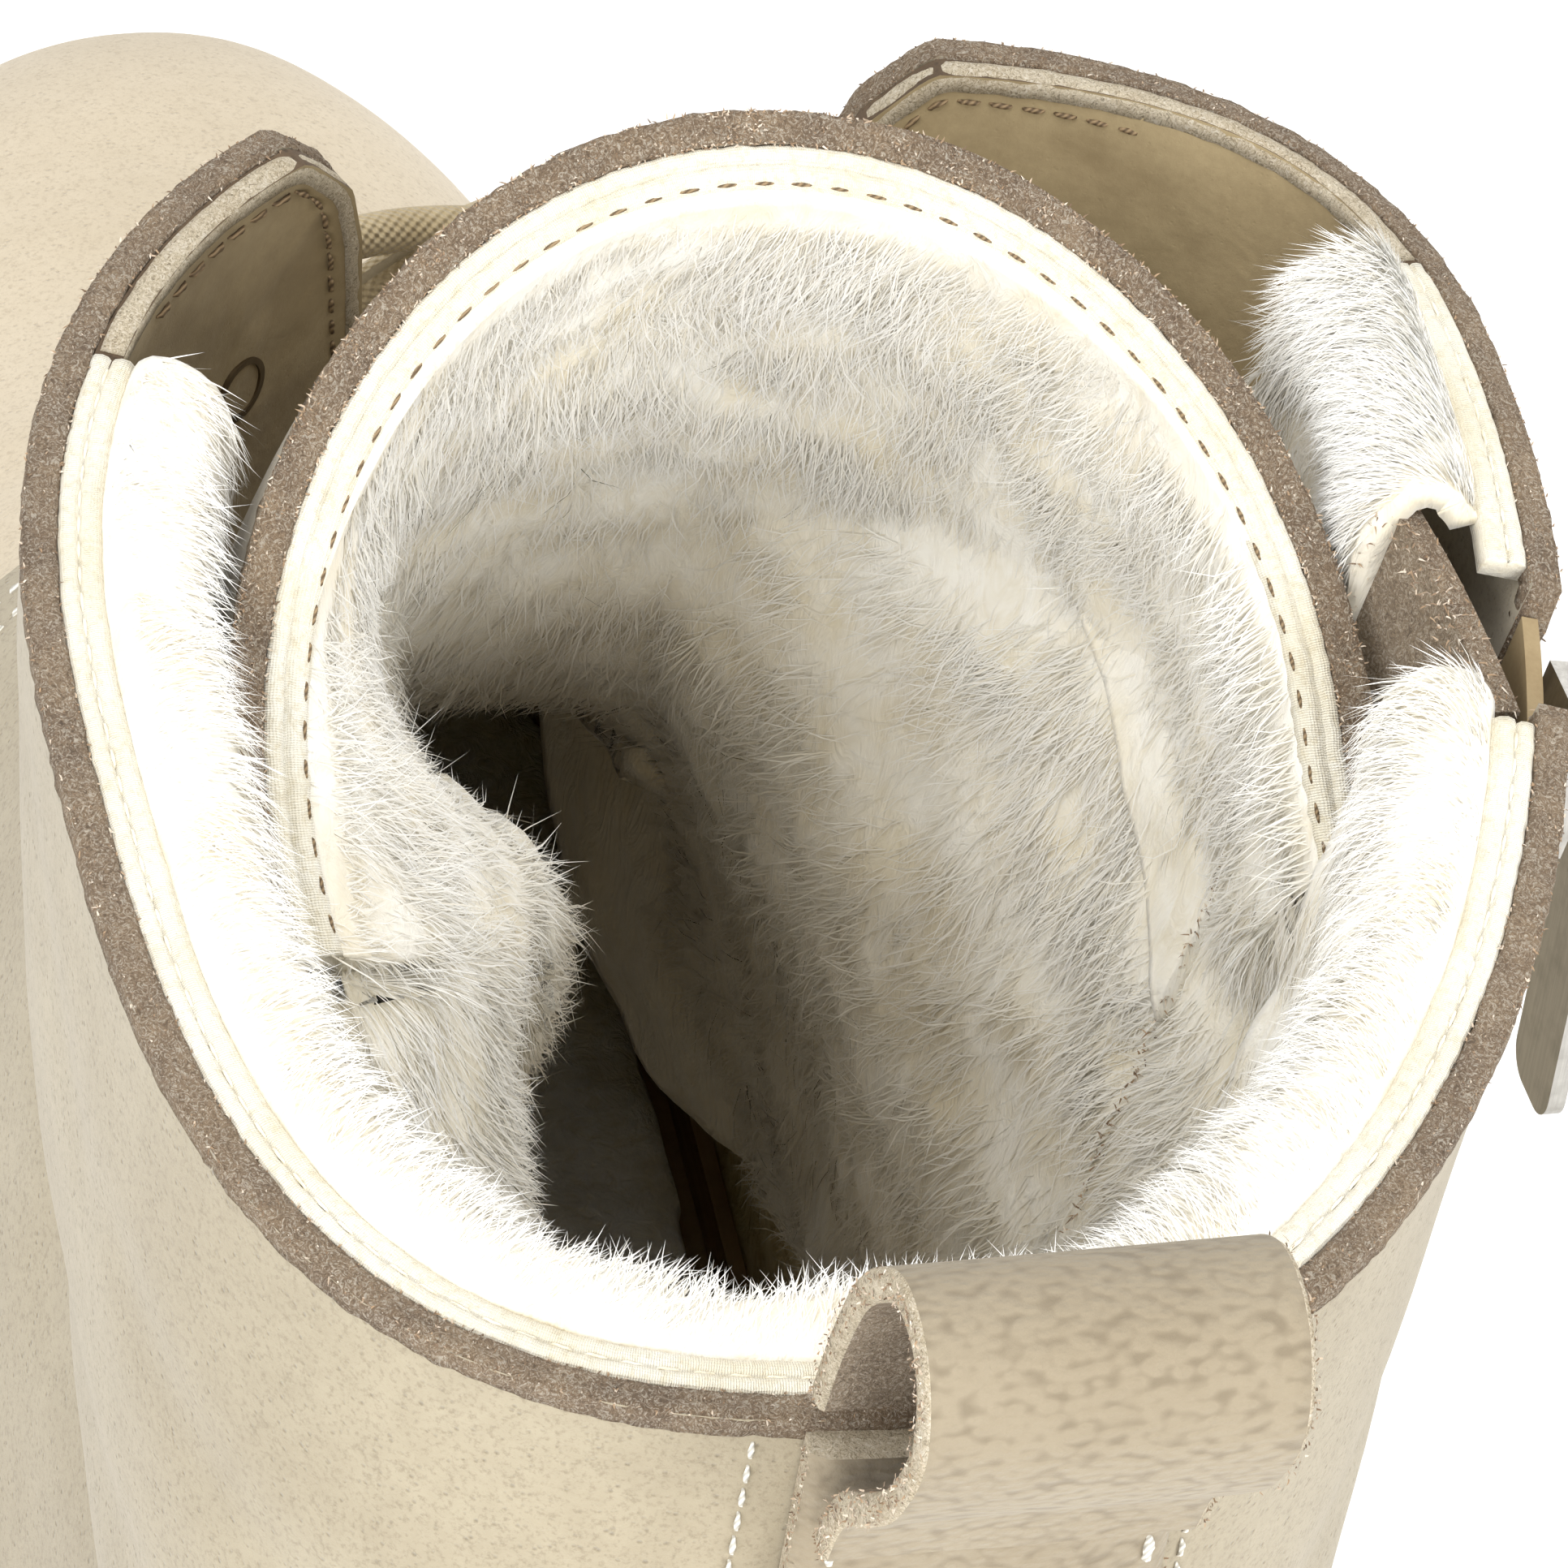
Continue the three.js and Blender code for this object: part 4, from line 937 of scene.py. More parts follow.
def crumbs(name, anchors, rise, out, count, rng, size=(0.2, 0.55), breadth=RAW):
    """Loose fibres that stand out of a raw edge."""
    pick = rng.integers(0, len(anchors), count)
    depth = rng.uniform(-0.1, breadth, count)
    root = anchors[pick] - out[pick] * depth[:, None] + rise[pick] * 0.02
    lean = unit(rise[pick] * rng.uniform(0.2, 1.0, (count, 1)) + 1.0 * rng.normal(size=(count, 3)))
    lean = np.where((lean * rise[pick]).sum(1, keepdims=True) < 0.05, lean + 0.5 * rise[pick], lean)
    hairs = Hairs()
    hairs.grow(root, rise[pick], unit(lean), rng.uniform(*size, count), 0.07, 0.35, rng)
    return hairs.make(name, CRUMB)


# ------------------------------------------------------------------ fibres

class Hairs:
    """Many tapered fibres in one mesh, with a value from root to tip and a tone for each fibre."""

    def __init__(self):
        self.rows, self.tones, self.normals = [], [], []

    def grow(self, root, normal, lean, length, radius, bend, rng):
        """Each fibre starts along lean and bends over; radius is half its breadth at the root."""
        count = len(root)
        side = unit(np.cross(lean, normal + 1e-3))
        turn = rng.normal(0, 0.5, (count, 1))
        side = side * np.cos(turn) + np.cross(lean, side) * np.sin(turn)
        curl = np.cross(lean, normal) * rng.normal(0, 0.22, (count, 1)) - normal * bend
        length = np.asarray(length)[:, None]
        middle = root + lean * length * 0.55 + curl * length * 0.3
        rows = [root - side * radius, root + side * radius, middle - side * radius * 0.8,
                middle + side * radius * 0.8, root + lean * length + curl * length]
        self.rows.append(np.stack(rows, 1))
        self.tones.append(rng.uniform(0, 1, count))
        self.normals.append(normal)

    def make(self, name, skin_material, slot=None, soft=0.0):
        rows = np.concatenate(self.rows)
        count = len(rows)
        start = 5 * np.arange(count)[:, None]
        piece = Piece()
        piece.vertices(rows)
        piece.skin(start + np.array([0, 1, 3, 2]))
        piece.skin(start + np.array([2, 3, 4]))
        made = piece.make(name, [skin_material], slot, sharp=0, merge=False)
        mesh = made.data
        tip = mesh.attributes.new("tip", "FLOAT", "POINT")
        tip.data.foreach_set("value", np.tile([0, 0, 0.55, 0.55, 1], count).astype(np.float32))
        tone = mesh.attributes.new("tone", "FLOAT", "POINT")
        tone.data.foreach_set("value", np.repeat(np.concatenate(self.tones), 5).astype(np.float32))
        if soft:
            own = np.zeros(len(mesh.vertices) * 3, np.float32)
            mesh.vertices.foreach_get("normal", own)
            own = own.reshape(-1, 3)
            ground = np.repeat(np.concatenate(self.normals), 5, axis=0)
            own = own * np.sign((own * ground).sum(1, keepdims=True))
            mesh.normals_split_custom_set_from_vertices(unit(own * (1 - soft) + ground * soft))
        return made


def mark_painted_shade(piece):
    """Marks how much painted shade the fleece gets: most in the middle, low down on the instep, where the
    boot's inside lies in shade.
    """
    mesh = piece.data
    points = np.zeros(len(mesh.vertices) * 3, np.float32)
    mesh.vertices.foreach_get("co", points)
    _, y, z = points.reshape(-1, 3).T / MM
    # painted shade: darker low down and towards the middle of the boot's inside
    shade_share = np.clip((150 - z) / 34, 0, 1) * np.exp(-((y + 5) / 19) ** 2) + np.clip((112 - z) / 40, 0, 0.6)
    painted_shade = mesh.attributes.new("painted_shade", "FLOAT", "POINT")
    painted_shade.data.foreach_set("value", np.clip(shade_share, 0, 1).astype(np.float32))


class Ground:
    """A surface on which fibres grow, sampled evenly by area."""

    def __init__(self, points, normals):
        self.points = points
        self.normals = normals
        a, b, c = points[:-1, :-1], points[1:, :-1], points[:-1, 1:]
        self.areas = np.linalg.norm(np.cross(b - a, c - a), axis=-1)

    def pick(self, count, rng, weight=None):
        """Random places: point, normal, direction along the rows' increase, direction along the columns'."""
        chance = (self.areas if weight is None else self.areas * weight[:-1, :-1]).reshape(-1)
        cell = rng.choice(len(chance), count, p=chance / chance.sum())
        i, j = np.divmod(cell, self.points.shape[1] - 1)
        f, g = rng.uniform(size=(2, count, 1))
        blend = lambda v: ((v[i, j] * (1 - f) + v[i + 1, j] * f) * (1 - g)
                           + (v[i, j + 1] * (1 - f) + v[i + 1, j + 1] * f) * g)
        down = unit(self.points[i + 1, j] - self.points[i, j])
        over = unit(self.points[i, j + 1] - self.points[i, j])
        return blend(self.points), unit(blend(self.normals)), down, over, i[:, None] + f, j[:, None] + g


def pile_lean(point, normal, comb, rng, rise=0.26, swirl=0.5, stray=0.14):
    """Direction in which fibres lie: combed, swirling slowly from tuft to tuft, and each a little astray."""
    wander = np.stack([lumps(point, 13.0, s) for s in (1.3, 17.9, 31.7)], -1)
    tuft = np.stack([lumps(point, 4.2, s) for s in (3.1, 21.9, 39.7)], -1)
    lean = comb + swirl * wander + 0.45 * swirl * tuft + rng.normal(0, stray, point.shape)
    lean = unit(lean - normal * (lean * normal).sum(-1, keepdims=True))
    lift = rise * (1 + 0.8 * lumps(point, 5.5, 7.7))[:, None] + rng.normal(0, 0.09, (len(point), 1))
    return unit(lean + normal * np.clip(lift, 0.05, 1.2))


# ------------------------------------------------------------------ fleece of the collar and the inside

# depth below the leather's face, height above the collar's edge: the fleece's crown
CROWN = np.array([
    (TAPE_DEPTH - 0.3, -0.7), (5.9, 0.5), (6.8, 1.35), (8.2, 1.7), (9.8, 1.35), (11.2, 0.35), (12.2, -1.3),
    (12.8, -3.6),
])


def fleece_grid(zone, columns, low_row):
    """Rows over the crown, then down the inside to low_row."""
    u = np.linspace(0, 1, columns)
    angles = zone.angle(np.full(columns, COLLAR), u)
    edge, out = last_point(COLLAR, angles), last_normal(COLLAR, angles)
    rise = unit(last_point(COLLAR, angles) - last_point(COLLAR - 0.4, angles))
    share = np.linspace(0, 1, 18)
    knots = np.linspace(0, 1, len(CROWN))
    depth, height = (np.interp(share, knots, CROWN[:, k]) for k in (0, 1))
    crown = edge - out * depth[:, None, None] + rise * height[:, None, None]
    t = np.linspace(17.55, low_row, 66)[:, None]
    wall = zone.grid(t, u[None, :], -np.broadcast_to(wall_at(t) + 0.9, (66, columns)))
    grid = np.concatenate([crown, wall])
    normal = facing(grid_normals(grid), last_normal(17.0, zone.angle(np.full(columns, 17.0), u)), 25)
    lumpy = 0.75 * lumps(grid, 9.0, 2.0) + 0.45 * lumps(grid, 4.0, 5.0)
    lumpy[:3] *= np.array([0, 0.3, 0.7])[:, None]
    return grid + normal * lumpy[..., None], normal


def facing(normals, outward, row):
    """Normals turned, all together, so that at one row they point away from outward."""
    return -normals * np.sign((normals[row] * outward).sum())


def make_fleece(name, zone, columns, low_row, count, rng, comb_along):
    grid, normal = fleece_grid(zone, columns, low_row)
    piece = Piece().sheet(grid, grid - normal * 2.2, (0, 0, 0))
    mark_painted_shade(piece.make(name, [PILE], "fleece", sharp=0))
    rows = np.arange(len(grid))[:, None] * np.ones((1, columns))
    weight = np.clip((46 - rows) / 18, 0.02, 1) + np.clip((22 - rows) / 6, 0, 1.6)
    point, own, down, over, i, _ = Ground(grid, normal).pick(count, rng, weight)
    lean = pile_lean(point, own, down + comb_along * over, rng)
    hairs = Hairs()
    length = rng.uniform(3.2, 6.4, count) * np.clip(0.55 + i[:, 0] / 22, 0, 1)
    hairs.grow(point - own * 0.35, own, lean, length, FIBRE, 0.22, rng)
    mark_painted_shade(hairs.make(name + "_fibres", PILE_FIBRE, "fleece", soft=0.85))


def make_lining(name, zone, first, last, depth):
    """Shorter fleece deep inside, close to the leather."""
    t, u = np.linspace(first, last, 56)[:, None], np.linspace(0, 1, 60)[None, :]
    grid = zone.grid(t, u, -depth - 0.5 * lumps(zone.grid(t, u, -depth), 8.0, 4.0))
    Piece().sheet(grid, zone.grid(t, u, -LEATHER - 0.4), (0, 0, 0)).make(name, [DEEP_PILE], "fleece", sharp=0)


# ------------------------------------------------------------------ stitches and small repeats

# pitch, length and thread radius of each row of stitches, and how far its thread lies above the leather
TAPE_STITCH = (2.3, 1.7, 0.13, 0.05)
FACING_STITCH = (2.25, 1.75, 0.2, 0.0)
TONGUE_STITCH = (2.6, 1.6, 0.13, 0.02)
STAY_STITCH = (3.3, 2.7, 0.36, 0.16)
BESIDE_STAY_STITCH = (2.2, 1.7, 0.2, 0.02)
ZIP_STITCH = (2.6, 2.0, 0.24, 0.05)
WELT_STITCH = (4.2, 3.4, 0.42, 0.14)
VAMP_STITCH = (2.7, 2.1, 0.25, 0.05)


def stitch_row(piece, path, out, pitch, length, radius, lift):
    """Two-ply stitches that dip into the leather at both ends, at an even pitch along a path."""
    lengths = np.concatenate([[0], np.cumsum(np.linalg.norm(np.diff(path, axis=0), axis=1))])
    count = max(int(lengths[-1] / pitch) - 1, 1)
    middle = (np.arange(count) + 0.75) * lengths[-1] / (count + 0.5)
    s, round_it = np.linspace(-1, 1, 7), 2 * math.pi * np.arange(6) / 6
    places = middle[:, None] + s * length / 2
    at = np.stack([np.interp(places, lengths, path[:, k]) for k in range(3)], -1)
    up = unit(np.stack([np.interp(places, lengths, out[:, k]) for k in range(3)], -1))
    ahead = unit(np.gradient(at, axis=1))
    side = unit(np.cross(ahead, up))
    centre = at + up * (lift - (radius + lift) * 1.3 * s ** 6)[None, :, None]
    ply = 1 + 0.2 * np.cos(2 * round_it[None, :] - 5 * s[:, None])
    size = radius * (1 - 0.5 * s ** 4)[:, None] * ply
    ring = (side[:, :, None] * (size * np.cos(round_it))[None, ..., None]
            + up[:, :, None] * (size * np.sin(round_it))[None, ..., None])
    points = (centre[:, :, None] + ring).reshape(count, -1, 3)
    one = grid_faces(7, 6, True)
    caps = np.array([(5, 4, 3, 2), (5, 2, 1, 0), (38, 39, 40, 41), (36, 37, 38, 41)])
    faces = np.concatenate([one, caps])
    offsets = 42 * np.arange(count)[:, None, None]
    return piece.add(points, (faces[None] + offsets).reshape(-1, 4), 0)


def soft_block(size, bevel):
    """Points and faces of a box with bevelled edges, centred on the origin."""
    work = bmesh.new()
    bmesh.ops.create_cube(work, size=1.0)
    bmesh.ops.scale(work, vec=size, verts=work.verts)
    bmesh.ops.bevel(work, geom=work.edges, offset=bevel, segments=1, profile=0.6, affect="EDGES")
    bmesh.ops.triangulate(work, faces=work.faces)
    points = np.array([v.co for v in work.verts])
    faces = np.array(sorted([v.index for v in f.verts] for f in work.faces))
    work.free()
    return points, faces


def stamp(piece, template, origins, axes, slot=0):
    """Copies of a template; axes holds three directions for each copy."""
    points, faces = template
    placed = origins[:, None] + np.einsum("vk,nkj->nvj", points, axes)
    offsets = len(points) * np.arange(len(origins))[:, None, None]
    return piece.add(placed, (faces[None] + offsets).reshape(-1, faces.shape[1]), slot)


def turned(piece, profile, origin, axis, sides=40, slot=0):
    """A profile of (radius, height) turned round an axis; the profile closes on itself."""
    helper = np.array([0.0, 1.0, 0.0]) if abs(axis[1]) < 0.9 else np.array([1.0, 0.0, 0.0])
    across = unit(np.cross(axis, helper))
    other = np.cross(axis, across)
    angles = 2 * math.pi * np.arange(sides) / sides
    spoke = across * np.cos(angles)[:, None] + other * np.sin(angles)[:, None]
    rings = origin + spoke[:, None] * profile[None, :, 0, None] + axis * profile[None, :, 1, None]
    rings = np.concatenate([rings, rings[:1]])
    rows, columns = rings.shape[:2]
    return piece.add(rings, grid_faces(rows, columns, True), slot)


# ------------------------------------------------------------------ collar edge, tape and facings

FACING_PROFILE = np.array([
    (2.5, -1.4), (2.52, -0.3), (2.7, 0.0), (3.2, 0.12), (3.9, 0.1), (4.35, -0.08), (4.5, -0.4), (4.5, -1.4),
])


def in_fleece(path):
    return path[:, 0] < np.interp(path[:, 2], FLEECE_LINE[:, 0], FLEECE_LINE[:, 1]) + 1.0


def make_collar(side, label, rng):
    edge_piece, tape_piece, facing_piece = Piece(), Piece(), Piece()
    seam, anchors, rises, outs = Piece(), [], [], []
    for t, angles in rim_path(side):
        path, out = path_frame(t, angles)
        if side < 0:
            path, out = path[::-1], out[::-1]
        rise = band(edge_piece, path, out, RAW_PROFILE, rough=0.15)
        high, soft = path[:, 2] > 150, in_fleece(path)
        beside_slit = np.abs(path[:, 0] - ZIP_X) < ZIP_HALF + 1.6
        taped = high & soft & ~((path[:, 1] < 0) & beside_slit)
        if taped.sum() > 8:
            rows = np.flatnonzero(taped)
            rows = np.arange(rows[0], rows[-1] + 1)
            band(tape_piece, path[rows], out[rows], TAPE_PROFILE, rough=0.09, grain=0.7)
            groove = path[rows] - out[rows] * 3.72 + rise[rows] * 0.02
            stitch_row(seam, groove, rise[rows], *TAPE_STITCH)
        faced = np.flatnonzero(~soft)
        if len(faced) > 8:
            faced = np.arange(faced[0], faced[-1] + 1)
            band(facing_piece, path[faced], out[faced], FACING_PROFILE, rough=0.08, grain=0.8)
        anchors.append(path[high])
        rises.append(rise[high])
        outs.append(out[high])
    edge_piece.make(f"collar_edge_{label}", [RAW_EDGE], "suede", sharp=0)
    tape_piece.make(f"collar_tape_{label}", [TAPE], "fleece", sharp=0)
    facing_piece.make(f"facing_edge_{label}", [CUT_EDGE], "nubuck", sharp=0)
    seam.make(f"tape_stitches_{label}", [TAPE], "lace_textile", sharp=0)
    anchors, rises, outs = (np.concatenate(v) for v in (anchors, rises, outs))
    crumbs(f"collar_edge_fibres_{label}", anchors, rises, outs, 5500, rng)


def make_facing(side, label):
    """The lining leather beside the throat, wrinkled, with a row of stitches inside its edge."""
    beyond = lambda t: fleece_edge(side)(t) - side * 0.05
    zone = Zone(throat_edge(side), beyond, (7.9, COLLAR))
    t, u = np.linspace(7.95, COLLAR - 0.03, 90)[:, None], np.linspace(0.0, 1, 44)[None, :]
    base = zone.grid(t, u, -FACING)
    normal = last_normal(*np.broadcast_arrays(t, zone.angle(*np.broadcast_arrays(t, u))))
    wrinkle = 0.42 * lumps(base, 11.0, 3.0) + 0.2 * np.abs(lumps(base, 5.0, 8.0))
    wrinkle = wrinkle - 0.1 * lumps(base, 2.2, 1.0)
    fade = np.clip(np.minimum(u / 0.08, (COLLAR - t) / 0.35), 0, 1)
    inside = base + normal * (np.broadcast_to(wrinkle * fade, base.shape[:2]) - 0.05)[..., None]
    piece = Piece().sheet(inside, zone.grid(t, u, -2.45), (0, 1, 2))
    piece.make(f"facing_{label}", [FACING_SKIN, RAW_SUEDE, GLUE], "nubuck")
    rows = np.concatenate([np.linspace(8.6, 17.55, 200), np.full(60, 17.55)])
    width = np.concatenate([np.full(200, 3.0), np.linspace(3.0, 22.0, 60)])
    edge = throat_edge(side)(rows)
    reach = last_point(rows, edge - side * 0.1)
    step = np.linalg.norm(reach - last_point(rows, edge), axis=1) / 0.1
    angles = edge - side * width / step
    path = soften(skin(rows, angles, -FACING - 0.05), 14)
    stitches = Piece()
    stitch_row(stitches, path, -last_normal(rows, angles), *FACING_STITCH)
    stitches.make(f"facing_stitches_{label}", [BROWN_THREAD], "lace_textile", sharp=0)


# ------------------------------------------------------------------ tongue

TONGUE_ROWS = len(TONGUE) - 1
RIM_RUN = 10.0           # how far the rim runs on beyond the tongue's sides


def half_breadth(points):
    """How far the boot's outer face is from its middle, on the side and at the x and z of each point."""
    x, y, z = np.moveaxis(points, -1, 0)
    low, high = np.full_like(x, 3.0), np.full_like(x, COLLAR)
    for _ in range(22):
        t = (low + high) / 2
        ridge_x, ridge_z, keel_x, keel_z = np.moveaxis(row_at(SECTIONS, t), -1, 0)[:4]
        ahead = (ridge_x - keel_x) * (z - keel_z) - (ridge_z - keel_z) * (x - keel_x) < 0
        low, high = np.where(ahead, low, t), np.where(ahead, t, high)
    rows = np.moveaxis(row_at(SECTIONS, t), -1, 0)
    ridge_x, ridge_z, keel_x, keel_z, lateral, medial, belly, ridge_power = rows[:8]
    share = ((x - keel_x) * (ridge_x - keel_x) + (z - keel_z) * (ridge_z - keel_z)) / (
        (ridge_x - keel_x) ** 2 + (ridge_z - keel_z) ** 2)
    f = np.clip((share - belly) / (1 - belly), 0, 1)
    breadth = (1 - f ** ridge_power) ** (1 / ridge_power)
    return np.where(t > COLLAR - 0.01, 80.0, np.where(y > 0, lateral, -medial) * breadth)


def tongue_point(row, turn, depth, beyond=0.0):
    """A point depth below the tongue's outer face; beyond carries its edge on, back and inwards."""
    row, turn, depth = np.broadcast_arrays(np.asarray(row, float), turn, depth)
    x, z, half, wrap, slope, _ = np.moveaxis(row_at(TONGUE, row), -1, 0)
    slope = np.radians(slope)
    inward = np.stack([-np.cos(slope), 0 * slope, -np.sin(slope)], -1)
    length = np.hypot(half * np.cos(turn), wrap * np.sin(turn))
    down = wrap * (1 - np.cos(turn)) + depth / length * half * np.cos(turn) + beyond
    across = half * np.sin(turn) - depth / length * wrap * np.sin(turn)
    across = across - np.where(turn > 0, 0.011, 0.006) * np.asarray(beyond) ** 2
    points = np.stack([x, TONGUE_Y + across, z], -1) + inward * down[..., None]
    room = np.maximum(half_breadth(points) - FACING - 0.8 - depth, 4.0)
    points[..., 1] = np.clip(points[..., 1], -room, room)
    return points


def tongue_thick(row, turn):
    return row_at(TONGUE, row)[..., 5] * (1 - 0.45 * np.abs(turn / (math.pi / 2)) ** 4)


def tongue_edge():
    """The tongue's rim from one side over the top to the other, and on a little way into the collar."""
    quarter = math.pi / 2
    turns = np.concatenate([np.full(30, quarter), np.linspace(quarter, -quarter, 400), np.full(30, -quarter)])
    beyond = np.concatenate([np.linspace(RIM_RUN, 0.2, 30), np.zeros(400), np.linspace(0.2, RIM_RUN, 30)])
    path = tongue_point(TONGUE_ROWS, turns, 0.0, beyond)
    out = unit(path - tongue_point(TONGUE_ROWS, turns, 1.0, beyond))
    even, places = along(soften(path, 16), 0.4)
    return even, carried(path, out, places)


def make_tongue(rng):
    quarter = math.pi / 2
    rows, turns = np.linspace(0.3, TONGUE_ROWS, 56)[:, None], np.linspace(-quarter, quarter, 80)[None, :]
    outer = tongue_point(rows, turns, 0.0)
    sunk = 0.35 * lumps(outer, 16.0, 6.0)[..., None] * grid_normals(outer)
    leather_piece = Piece().sheet(outer + sunk, tongue_point(rows, turns, LEATHER))
    leather_piece.make("tongue_leather", [NUBUCK, RAW_EDGE], "nubuck", ["tongue"])

    path, out = tongue_edge()
    edge = Piece()
    rise = band(edge, path, out, RAW_PROFILE, rough=0.17)
    edge.make("tongue_edge", [RAW_EDGE], "suede", sharp=0)
    tape = Piece()
    band(tape, path, out, TAPE_PROFILE, rough=0.1, grain=0.8)
    tape.make("tongue_tape", [TAPE], "fleece", sharp=0)
    crumbs("tongue_edge_fibres", path, rise, out, 9000, rng, (0.25, 0.65))
    seam = Piece()
    stitch_row(seam, path - out * 5.1 + rise * 0.12, unit(rise - 0.5 * out), *TONGUE_STITCH)
    seam.make("tongue_stitches", [BROWN_THREAD], "lace_textile", sharp=0)

    u = np.linspace(-1, 1, 151)
    spread = np.clip(np.abs(u) / 0.7, 0, 1)
    beyond = np.clip((np.abs(u) - 0.7) / 0.3, 0, 1) * 40
    turns = (np.sign(u) * spread * quarter)[None, :]
    rows = np.linspace(0.0, TONGUE_ROWS, 81)[:, None]
    crown = np.clip((TONGUE_ROWS - rows) / 0.5, 0, 1) ** 0.5
    deep = np.maximum(tongue_thick(rows, turns), TAPE_DEPTH + 1.4 * crown) - 0.6
    kept_beyond = np.maximum(np.minimum(beyond, RIM_RUN)[None, :],
                             beyond[None, :] * np.clip((TONGUE_ROWS - 0.25 - rows) / 1.6, 0, 1))
    pile = tongue_point(rows, turns, deep, kept_beyond)
    middle = unit(tongue_point(6.0, 0.0, 5.0) - tongue_point(6.0, 0.0, 0.0))
    normal = grid_normals(pile)
    normal = normal * np.sign((normal[60, 75] * middle).sum())
    fold = 19.0 * np.exp(-((u - 0.72) / 0.21) ** 2)[None, :] * np.clip((TONGUE_ROWS - 0.2 - rows) / 2.2, 0, 1)
    fold = fold * np.clip((rows - 1.2) / 2, 0, 1)
    lumpy = 1.0 * lumps(pile, 13.0, 2.5) + 0.5 * lumps(pile, 5.0, 9.5)
    fade = np.clip((TONGUE_ROWS - rows) / 0.6, 0, 1)
    pile = pile + normal * (lumpy * fade + fold)[..., None]
    room = np.maximum(half_breadth(pile) - FACING - 4, 3.0)
    pile[..., 1] = np.clip(pile[..., 1], -room, room)
    normal = grid_normals(pile)
    normal = normal * np.sign((normal[60, 75] * middle).sum())
    undercoat = Piece().sheet(pile, pile - normal * 2.4, (0, 0, 0))
    mark_painted_shade(undercoat.make("tongue_fleece", [PILE], "fleece", sharp=0))
    ground = Ground(pile, normal)
    for name, count, low, high in (("upper", 40000, 5.3, 9.0), ("lower", 30000, 1.0, 5.5)):
        inside = (rows >= low) & (rows <= high) & (np.abs(u)[None, :] < 1.1)
        point, own, up, over, _, j = ground.pick(count, rng, inside * 1.0)
        fan = (j / 75 - 1) * 0.35
        lean = pile_lean(point, own, -up + over * fan, rng, rise=0.24)
        hairs = Hairs()
        hairs.grow(point - own * 0.4, own, lean, rng.uniform(4.0, 8.0, count), FIBRE, 0.12, rng)
        mark_painted_shade(hairs.make(f"tongue_fibres_{name}", PILE_FIBRE, "fleece", soft=0.85))


# ------------------------------------------------------------------ heel stay and pull loop

def strip_rings(path, out, width, thick, middle_y, wobble=0.0):
    """Rings of a flat strip that lies across the boot; out is the direction of its grain side."""
    half, r = width / 2, thick / 2
    flat = np.linspace(-half + 0.5, half - 0.5, 22)
    grain_side = [(y, r) for y in flat]
    edge_a = [(half - 0.15, r * 0.75), (half, 0.0), (half - 0.15, -r * 0.75)]
    flesh_side = [(y, -r) for y in flat[::-1]]
    edge_b = [(-half + 0.15, -r * 0.75), (-half, 0.0), (-half + 0.15, r * 0.75)]
    section = np.array(grain_side + edge_a + flesh_side + edge_b)
    rings = path[:, None] + out[:, None] * section[None, :, 1, None]
    rings = rings + np.array([0.0, 1.0, 0.0]) * (section[:, 0] + middle_y)[None, :, None]
    if wobble:
        rings = rings + out[:, None] * (wobble * lumps(rings, 8.0, 5.0))[..., None]
    slots = np.array([0] * 21 + [2] * 4 + [1] * 21 + [2] * 4)
    return rings, slots


def make_loop(rng):
    places = row_at(LOOP, np.linspace(0, len(LOOP) - 1, 110))
    ahead = unit(np.gradient(places, axis=0))
    path = np.stack([places[:, 0], 0 * places[:, 0], places[:, 1]], -1)
    out = np.stack([ahead[:, 1], 0 * places[:, 0], -ahead[:, 0]], -1)
    rings, slots = strip_rings(path, out, STAY_WIDTH, LEATHER, STAY_Y, 0.22)
    strip = Piece().tube(rings, slots)
    strip.make("pull_loop_strip", [LOOP_GRAIN, RAW_SUEDE, CUT_EDGE], "nubuck", ["pull_loop"])
    for sign, label in ((1, "lateral"), (-1, "medial")):
        anchors = path + np.array([0, STAY_Y + sign * STAY_WIDTH / 2, 0])
        rise = np.tile([0.0, sign, 0.0], (len(path), 1))
        crumbs(f"loop_edge_fibres_{label}", anchors + out * LEATHER / 2, rise, out, 700, rng, (0.25, 0.6),
               LEATHER)


def stay_frame(y, t0, t1, count):
    t = np.linspace(t0, t1, count)
    angle = angle_at_y(t, y, rear=True)
    return t, angle


